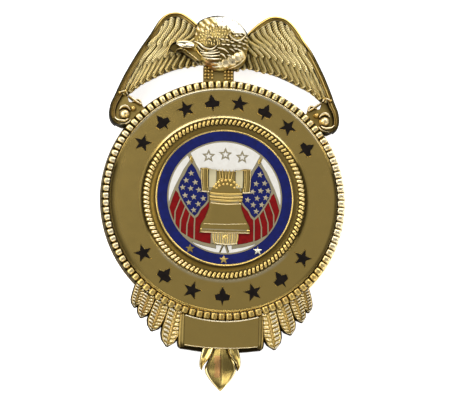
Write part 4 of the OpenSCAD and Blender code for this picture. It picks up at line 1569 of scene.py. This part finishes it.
# Painted shade in the recess, deeper towards the tip.
darken(mouth, np.interp(points(mouth)[:, 0], [-12.5, -11, -10, -8], [0.95, 0.9, 0.45, 0.3]))
finish(mouth, "beak_hollow", satin_gilt)

# %% [markdown]
# ## Neck
#
# A short plate joins the eagle to the shield. It is set with two blocks of
# beads, which are small mounds in rows.

# %% Neck
NECK = [(-5.2, 27.8), (-5.2, 31.4), (-4.4, 32.2), (1.2, 32.2), (1.9, 31.4), (1.9, 27.8)]
# The plate between the beads is painted dark, as shade between them.
neck = [smear(plate(NECK, 0.1, 1.7, step=UNCUT), 0.75)]
for x in (-4.75, -4.05, -3.2, -0.15, 0.65, 1.4):
    for y in (28.75, 29.55, 30.35, 31.1):
        neck.append(mound(x, y, (0.3, 0.3), 1.6, 2.2, 6))
finish(join(neck, "neck"), "neck_beads", border_gilt)

# %% [markdown]
# ## Fans of feathers
#
# Below the shield a fan of four barred feathers stands out to each side. One
# straight leaf carries the bars, the beads and the shaft as waves in its
# height, and its tone paints highlights on the bars and the shaft and shade
# at its edges. A wider, near-black leaf under each one paints a shadow
# round it, which shows as its outline.

# %% Fans of feathers
def bars(s, t):
    """Straight bars on the outer half of a leaf and beads on its inner half."""
    wave = np.clip(0.55 + 0.85 * np.cos(2 * math.pi * (t * 10 + np.abs(s) * 0.5)), 0, 1)
    beads = 0.5 + 0.5 * np.cos(2 * math.pi * (np.abs(s) * 2.6 + np.floor(t * 10) * 0.5))
    inside = np.interp(np.abs(s), [0.14, 0.22, 0.72, 0.8], [0, 1, 1, 0])
    return wave * inside * np.where(s > 0, 0.5 + 0.5 * beads, 1)


def lines(s):
    """The shaft in the middle of a leaf and the lip along its edges."""
    return np.exp(-((s / 0.07) ** 2)) + np.exp(-(((np.abs(s) - 0.85) / 0.06) ** 2))


# The tone paints highlights on the bars and the shaft, and shade at the edges.
fan_strip = straight(
    24, 78,
    lambda s, t: np.clip(0.45 + 0.45 * bars(s, t) + 0.4 * lines(s), 0, 1)
    * np.interp(np.abs(s), [0, 0.93, 1], [1, 0.85, 0.4]),
    lambda s, t: 0.65 - 1.5 * bars(s, t) - 1.1 * lines(s) + np.interp(np.abs(s), [0.88, 0.94, 1], [0, 0.9, 1.6]),
)

FAN = [
    (18.6, -19.2, 20.3, -25.45, 1.3), (16.4, -21.2, 18.8, -27.75, 1.55), (13.6, -23.2, 16.25, -30.7, 1.85),
    (10.3, -24.6, 12.6, -34.15, 2.2),
]
LEAF = (
    (0, 0.85, 0.1), (0.3, 1, 0), (0.65, 1, 0), (0.8, 0.88, 0), (0.91, 0.6, 0.1), (0.97, 0.32, 0.2), (1, 0.1, 0.4),
)


def leaf(strip, x0, y0, x1, y1, half, low, high):
    rows = [(x0 + (x1 - x0) * t, y0 + (y1 - y0) * t, half * w, low - 0.3 * d, high - d) for t, w, d in LEAF]
    return bent(strip, rows, foot=0.1)


def nudged(obj):
    """The left fan stands a little nearer to the name plate."""
    set_points(obj, points(obj) + (0.35, 0, 0))


FAN_WEB = [
    (18, -18.5), (19.6, -20.8), (19.6, -23), (17.8, -25.8), (15.2, -28), (12, -30.4), (8.6, -30.8), (8, -26.5),
    (14, -22),
]
fan = join([leaf(fan_strip, *place, 1.0, 1.7) for place in FAN], "fan")
# Near-black leaves, wider than the leaves above, paint a shadow round each one.
shadow_leaves = [leaf(round_strip, x0, y0, x1 + 0.04, y1 - 0.24, half + 0.2, 0.5, 1.2) for x0, y0, x1, y1, half in FAN]
shadow_leaves.append(plate(FAN_WEB, 0.1, 0.9, step=4))
fan_shadow = join(shadow_leaves, "back")
both_sides(fan, "feather_fan", border_gilt, fit=nudged)
both_sides(fan_shadow, "fan_shadow", painted_shade_gilt, fit=nudged)

# %% [markdown]
# ## Name plate
#
# The name plate is a bare sheet whose top follows the shield and whose foot
# is slightly curved. It lies between two ends that bend back, with a thin
# lip above and below and a near-black plate behind, which paints the shade
# of its lower wall. The top lip carries a painted highlight, and the ends
# are painted with upright streaks of light and shade. One outline, extruded,
# is enough for a sheet, and the lips are strips bent along the same curves.

# %% Name plate
WIDE, LIP_WIDE = 8.5, 8.4


def plate_edge(x, r):
    """The name plate's top edge, concentric with the shield."""
    return -math.sqrt(r * r - min(x * x, WIDE ** 2))


def foot_line(x, y):
    """The name plate's foot, a shallow curve."""
    return y + x * x / 110


across, lip_across = np.linspace(-WIDE, WIDE, 13), np.linspace(-LIP_WIDE, LIP_WIDE, 9)
sheet = plate(
    [(x, plate_edge(x, 28.5)) for x in across] + [(x, foot_line(x, -35.1)) for x in np.linspace(WIDE, -WIDE, 13)],
    0.1, 2.3, step=2.5,
)
finish(sheet, "name_plate", satin_gilt, side=painted_shade_gilt, angle=20)
# The top lip carries a painted highlight.
lips = [
    bent(bright_strip, [(x, plate_edge(x, 28.6), 0.16, 2.2, 2.42) for x in lip_across]),
    bent(round_strip, [(x, foot_line(x, -35.05), 0.09, 2.1, 2.32) for x in lip_across]),
]

# The tone paints upright streaks of light and shade on the ends.
end_strip = straight(
    16, 16, lambda s, t: np.sqrt(np.clip(1 - ((1 - s) / 2) ** 2.4, 0, 1)),
    lambda s, t: np.interp(s, [-1, -0.75, -0.5, -0.25, 0.1, 0.4, 0.7, 1], [0.9, 0.8, 0.1, 0.8, 0.85, 0.4, 0.7, 0.9])
    + np.interp(t, [0.85, 1], [0, 0.8]),
)

END_ROWS = [
    (9.05, -27.2, 0.6, 1.0, 2.2), (9.15, -29, 0.72, 0.9, 2.2), (9.2, -32, 0.78, 0.9, 2.2),
    (9.15, -34.0, 0.74, 0.8, 2.1), (9.0, -34.9, 0.6, 0.7, 1.8),
]
end_right = bent(end_strip, END_ROWS, foot=0.2)
finish(join([*lips, end_right, mirrored(end_right)], "ends"), "name_plate_ends", border_gilt)
CORNER = [(9.9, -28), (10.05, -33.6), (9.9, -34.6), (9.2, -35.2)]
SKIRT = [(-9.9, -28), (-8, -28), (8, -28), *CORNER, *[(x, foot_line(x, -35.9)) for x in np.linspace(8, -8, 9)]]
# The near-black plate behind paints the shade of the lower wall.
skirt = plate(SKIRT + [(-x, y) for x, y in CORNER[:0:-1]], 0.1, 1.1, step=2.5)
finish(skirt, "name_plate_back", painted_shade_gilt)

# %% [markdown]
# ## Drop
#
# The pointed drop is a leaf with a ridge down its middle, and two curled
# ears hang over its shoulders. Both are bent strips with sections of their
# own, whose tones paint light and shade on them. A few faces on the left of
# the drop get the red-tinted gilt, which paints a warm red reflection.

# %% Drop
# The tone paints a dark line down the ridge, a highlight on the lip and shade at the edges.
drop_strip = straight(
    20, 30, lambda s, t: np.interp(
        np.abs(s), [0, 0.05, 0.1, 0.82, 0.9, 0.96, 1], [0.9, 1, 0.97, 0.45, 0.55, 0.5, 0.2],
    ),
    lambda s, t: np.interp(
        np.abs(s), [0, 0.04, 0.08, 0.3, 0.74, 0.8, 0.84, 0.9, 0.94, 1],
        [0.9, 0.8, 0.2, 0.4, 0.45, 0.8, -0.6, -0.6, 0.9, 1],
    ),
)

DROP_ROWS = [
    (0.1, -34.8, 2.0, 1.0, 2.1), (0.12, -36, 2.2, 1.0, 2.2), (0.15, -37.4, 2.9, 1.0, 2.35),
    (0.2, -38.6, 3.5, 1.0, 2.4), (0.2, -39.7, 3.6, 1.0, 2.35), (0.25, -41.1, 2.9, 0.9, 2.1),
    (0.3, -42.6, 1.7, 0.8, 1.7), (0.35, -43.6, 0.7, 0.7, 1.2), (0.38, -44.15, 0.1, 0.5, 0.8),
]
RED_REFLECTION_X, RED_REFLECTION_Y = (-1.3, 0.1), (-41.2, -36.2)
drop = finish(bent(drop_strip, DROP_ROWS, foot=0.1), "foot_drop", bright_gilt, angle=25)
drop.data.materials.append(red_reflection_gilt)
# A few faces on the left get the painted red reflection.
for face in drop.data.polygons:
    x, y = face.center.x / MM, face.center.y / MM
    face.material_index = int(RED_REFLECTION_X[0] < x < RED_REFLECTION_X[1] and RED_REFLECTION_Y[0] < y < RED_REFLECTION_Y[1])

ear_strip = straight(
    10, 20, lambda s, t: np.interp(s, [-1, -0.7, 0, 0.7, 1], [0.5, 0.75, 0.55, 0.95, 0.4]),
    lambda s, t: np.interp(s, [-1, -0.8, -0.5, 0, 0.4, 0.6, 0.85, 1], [1, 0.2, 0, 0.35, 0.5, 0, 0, 1]),
)

EAR_ROWS = [
    (2.6, -34.7, 1.2, 1.2, 2.35), (3.0, -35.8, 1.25, 1.2, 2.5), (3.6, -37.0, 1.0, 1.2, 2.5),
    (4.1, -38.1, 0.65, 1.1, 2.3), (4.25, -39.0, 0.35, 1.0, 1.9), (4.1, -39.7, 0.08, 0.9, 1.4),
]
ear = bent(ear_strip, EAR_ROWS, foot=0.1)
finish(join([ear, mirrored(ear)], "ears"), "drop_ears", bright_gilt)

# %% [markdown]
# ## Stars of the medallion
#
# The flags and the ring carry faceted stars. A star is a flat outline,
# extruded, whose top face is poked so that a point in its middle can rise.
# Pieces on the medallion are level, so they aren't laid on the dome, and they
# stand on the CAD disc rather than in place of it.

# %% Stars of the medallion
STAR_INNER = 0.42
on_medallion = {"on_dome": False, "stands_for": ()}


def star(r):
    """A five-pointed star with facets that meet in its middle."""
    body = plate(star_outline(r, STAR_INNER), 0, 0.12, step=UNCUT)
    choose(body, lambda face: face.normal.z > FACE_UP)
    bpy.ops.mesh.poke()
    done()
    co = points(body)
    co[(np.hypot(co[:, 0], co[:, 1]) < 1e-4) & (co[:, 2] > 0.1), 2] = 0.22
    set_points(body, co)
    return body


CANTON_LEFT = [
    (-7.85, 5.38), (-8.99, 3.69), (-6.88, 3.29), (-9.77, 2.01), (-7.91, 1.84), (-6.03, 1.55), (-9.16, 0.14),
    (-7.17, -0.14), (-4.95, -0.42), (-8.32, -1.48), (-6.1, -1.76), (-7.12, -3.21),
]
CANTON_RIGHT = [
    (8.13, 5.6), (7.23, 3.45), (9.21, 3.63), (6.45, 1.53), (8.31, 1.83), (10.06, 1.89), (5.31, -0.4), (7.52, 0.03),
    (9.5, 0.22), (6.61, -1.54), (8.6, -1.47), (7.34, -3.05),
]
RING_STARS = [(-7.8, -12.2), (0, -14.5), (7.8, -12.2)]

# The small stars get a painted highlight.
small_star, ring_star = smear(star(0.74), -0.6), star(1.1)
set_points(small_star, points(small_star) * (1, 1, 0.7) + (0, 0, SEAL_FACE - 0.03))
set_points(ring_star, points(ring_star) + (0, 0, SEAL_FACE - 0.03))

stars = [moved(twin(small_star), x, y, 8 if x < 0 else -8) for x, y in CANTON_LEFT + CANTON_RIGHT]
# Besides its tilt, each ring star has a painted tone: shaded on the left, plain below, a painted highlight on the
# right.
for (x, y), lean, tone in zip(RING_STARS, (0.05, -0.12, -0.25), (0.6, 0, -1)):
    tilted = smear(twin(ring_star), tone)
    co = points(tilted)
    co[:, 2] += lean * co[:, 1]
    set_points(tilted, co)
    stars.append(moved(tilted, x, y))
discard(small_star, ring_star)

finish(join(stars, "stars"), "medallion_stars", border_gilt, **on_medallion)

# %% [markdown]
# ## Rim and finials
#
# A thin bead of metal runs round the enamel, and each flag staff ends in a
# pointed finial. The bead is spun from its outline, like the shield, and a
# finial is a short bent strip that swells in its middle.

# %% Rim and finials
BEAD = [(15.62, -0.1), (15.66, 0), (15.74, 0.06), (15.82, 0.08), (15.9, 0.04), (15.97, -0.04), (15.98, -0.1)]
rim_bead = lathe([(r, SEAL_FACE + h) for r, h in BEAD], 180)
finish(smear(rim_bead, 0.15), "medallion_rim", satin_gilt, **on_medallion)


def seal_ridge(rows, low=0.0, high=0.3, strip=None, tone=None):
    """A ridge on the medallion's face, from rows of x, y and half width."""
    rows = [(x, y, half, SEAL_FACE + low, SEAL_FACE + high) for x, y, half in rows]
    ridge = bent(strip or round_strip, rows, foot=SEAL_FACE - 0.1)
    return ridge if tone is None else smear(ridge, tone)


finials = []
for x, y, top_x, top_y in ((-7.75, 7.9, -8.0, 9.6), (7.86, 8.1, 8.15, 9.6)):
    middle_row = ((x + top_x) / 2, (y + top_y) / 2, 0.4, SEAL_FACE, SEAL_FACE + 0.25)
    rows = [(x, y, 0.14, SEAL_FACE, SEAL_FACE + 0.2), middle_row, (top_x, top_y, 0.06, SEAL_FACE, SEAL_FACE + 0.1)]
    finials.append(bent(round_strip, rows, foot=SEAL_FACE - 0.1))
finish(smear(join(finials, "finials"), 0.35), "flag_finials", satin_gilt, **on_medallion)

# %% [markdown]
# ## Bell
#
# The bell is one wide strip that follows its own middle line down, with a
# half width for each height. That is a profile, as on a lathe, but nearly
# flat, because the whole medallion is only a millimetre deep.

# %% Bell
BELL = [
    (4.5, 0.9), (3.8, 2.0), (2.5, 3.2), (1.2, 3.75), (-0.6, 3.75), (-2.3, 3.72), (-3.6, 4.15), (-4.9, 4.65),
    (-6.5, 5.55), (-7.4, 5.7), (-8.35, 5.75),
]
# The tone paints shade along the bell's edges and at its foot.
bell_strip = straight(
    24, 60, lambda s, t: (1 - np.abs(s) ** 5) * np.interp(t, [0, 0.1, 0.97, 1], [0.4, 1, 1, 0.5]),
    lambda s, t: np.maximum(np.interp(np.abs(s), [0.93, 1], [0, 0.7]), np.interp(t, [0.97, 1], [0, 0.9])),
)
bell = bent(
    bell_strip, [(0.15, y, half, SEAL_FACE + 0.21, SEAL_FACE + 0.34) for y, half in BELL], foot=SEAL_FACE - 0.1,
)

bell_lip = seal_ridge([(-5.5, -7.85, 0.4), (0.2, -7.9, 0.44), (5.8, -7.85, 0.4)], 0.21, 0.36, tone=0.1)
finish(join([bell, bell_lip], "bell"), "bell", satin_gilt, **on_medallion)

# %% [markdown]
# ## Bands, crown and headstock
#
# Bands run round the bell, a crack runs down it, and beads crown it under
# the headstock with its columns. Below it are a fluted base and two legs.
# Each is a short ridge on the medallion's face, so a table of lines, heights
# and tones is enough. The tones paint light and shade: shaded and lit
# columns, a darker yoke, a highlight on the ledge of the base, and lit and
# shaded flutes in turn.

# %% Bands and crown
YOKE = [(-5.75, 6.75), (-4.3, 6.85), (-2, 6.15), (2.2, 6.15), (4.6, 6.85), (6.0, 6.75), (5.4, 1.3), (-5.1, 1.3)]
yoke = smear(plate(YOKE, SEAL_FACE - 0.05, SEAL_FACE + 0.1, step=UNCUT), 0.55)

ribbed_band = straight(
    6, 120, lambda s, t: arch(s) * (0.8 + 0.2 * np.cos(2 * math.pi * 30 * t)),
    lambda s, t: 0.15 - 0.4 * np.cos(2 * math.pi * 30 * t) + np.interp(np.abs(s), [0.6, 1], [0, 0.8]),
)

BELL_BANDS = [
    ([(-3.5, 0.8, 0.28), (0.2, 0.62, 0.3), (3.95, 0.85, 0.28)], 0.25, 0.5, None, 0.15),
    ([(-3.6, 0.15, 0.3), (0.2, -0.1, 0.32), (4.1, 0.15, 0.3)], 0.25, 0.5, ribbed_band),
    ([(-3.5, -0.6, 0.26), (0.2, -0.85, 0.28), (4.0, -0.6, 0.26)], 0.25, 0.5, None, 0.15),
    ([(-3.3, -1.4, 0.16), (0.2, -1.65, 0.18), (3.8, -1.4, 0.16)], 0.2, 0.42),
    ([(-4.8, -6.35, 0.1), (0.2, -6.35, 0.12), (5.0, -6.05, 0.1)], 0.22, 0.36),
    ([(-5.3, -8.3, 0.12), (0.2, -8.35, 0.13), (5.6, -8.2, 0.12)], 0.2, 0.36),
    (
        [(0.05, -2.7, 0.08), (0.0, -4.2, 0.13), (0.4, -5.4, 0.12), (0.97, -6.75, 0.13), (1.6, -8.0, 0.08)],
        0.28, 0.315, dark_strip,
    ),
]
BEADS = {
    0.34: [
        (-2.53, 2.39), (-2.09, 2.98), (-1.54, 3.45), (-0.77, 3.81), (0.12, 3.96), (1.13, 4.0), (2.14, 3.58),
        (2.71, 3.03), (3.27, 2.6),
    ],
    0.3: [(-2.0, 2.1), (-1.3, 2.7), (-0.4, 3.0), (0.5, 3.1), (1.4, 2.9), (2.2, 2.3)],
}
relief = [yoke] + [seal_ridge(*band) for band in BELL_BANDS]
for half, places in BEADS.items():
    relief += [mound(x, y, (half, half), SEAL_FACE + 0.2, SEAL_FACE + 0.5, 6) for x, y in places]
print("bands and beads:", len(relief))

# %% Headstock and base
for side, shift in ((-1, 0.1), (1, 0.35)):

    def on_side(*rows):
        return [(x * side + shift, y, half) for x, y, half in rows]

    for x, half, tone in ((4.85, 0.6, 0.65), (4.2, 0.1, 0), (5.5, 0.1, -0.2)):
        relief.append(
            seal_ridge(on_side((x, 6.6, half), (x, 3.5, half), (x - 0.25, 1.2, half)), 0.05, 0.34, tone=tone)
        )
    relief.append(seal_ridge(on_side((5.6, 1.25, 0.12), (4.6, 1.2, 0.18), (3.7, 1.15, 0.12)), 0.05, 0.4, tone=-0.5))
    relief.append(seal_ridge(on_side((5.6, 6.65, 0.12), (3.3, 6.4, 0.14), (1.9, 6.1, 0.1)), 0.05, 0.34, tone=0.2))
for x in (-1.2, -0.55, 0.15, 0.85, 1.6):
    relief.append(seal_ridge([(x * 1.2, 6.5, 0.08), (x, 5.2, 0.18), (x * 0.9, 4.1, 0.2)], 0.05, 0.34, tone=0.25))
for k, x in enumerate(np.linspace(-2.5, 3.1, 11)):
    relief.append(
        seal_ridge([(x, -8.5, 0.2), (x, -9.6, 0.22), (x * 0.86, -10.9, 0.16)], 0, 0.26, tone=0.1 + 0.2 * (k % 2))
    )
relief.append(seal_ridge([(-2.1, -10.75, 0.14), (0.5, -11.0, 0.16), (3.0, -10.7, 0.14)], 0, 0.3, tone=-0.6))
relief.append(mound(0.25, -9.2, (0.55, 0.55), SEAL_FACE, SEAL_FACE + 0.36, 8))
for top_x, foot_x in ((0.1, -0.9), (0.5, 1.1)):
    relief.append(seal_ridge([(top_x, -10.9, 0.12), (foot_x, -12.7, 0.12)], 0, 0.1, tone=0.9))
finish(join(relief, "relief"), "bell_relief", border_gilt, **on_medallion)

# %% [markdown]
# ## Panels of the headstock
#
# Between its columns the headstock has two frosted panels, whose pale gilt
# paints their highlight and whose tone paints shade along their edges. They
# are slightly crowned strips, because a flat plate this small would catch no
# light.

# %% Panels of the headstock
panel_strip = straight(
    8, 8, lambda s, t: np.sqrt(np.clip(1 - 0.8 * s * s, 0, 1)),
    lambda s, t: np.interp(s, [-1, -0.85, 0, 0.8, 1], [0.8, 0.1, 0.2, 0.35, 0.8])
    + np.interp(t, [0, 0.4], [0.2, 0]),
)
panels = []
for left, right_edge in ((-3.85, -2.0), (2.35, 4.2)):
    x, wide = (left + right_edge) / 2, right_edge - left
    panels.append(
        seal_ridge([(x, 6.45, wide / 2), (x, 4.4, wide / 2), (x, 2.2, wide / 2.2)], 0.22, 0.36, panel_strip)
    )
finish(join(panels, "panels"), "headstock_panels", frosted_highlight_gilt, **on_medallion)

# %% [markdown]
# ## Clearing up
#
# The straight strips, blades and leaves that served as templates are
# removed, since each piece has its own copy.

# %% Removing the templates
discard(round_strip, bright_strip, dark_strip, flute, strand, covert, flight, middle, lancet, scale, lobe)
discard(fan_strip, end_strip, drop_strip, ear_strip, bell_strip, ribbed_band, panel_strip)
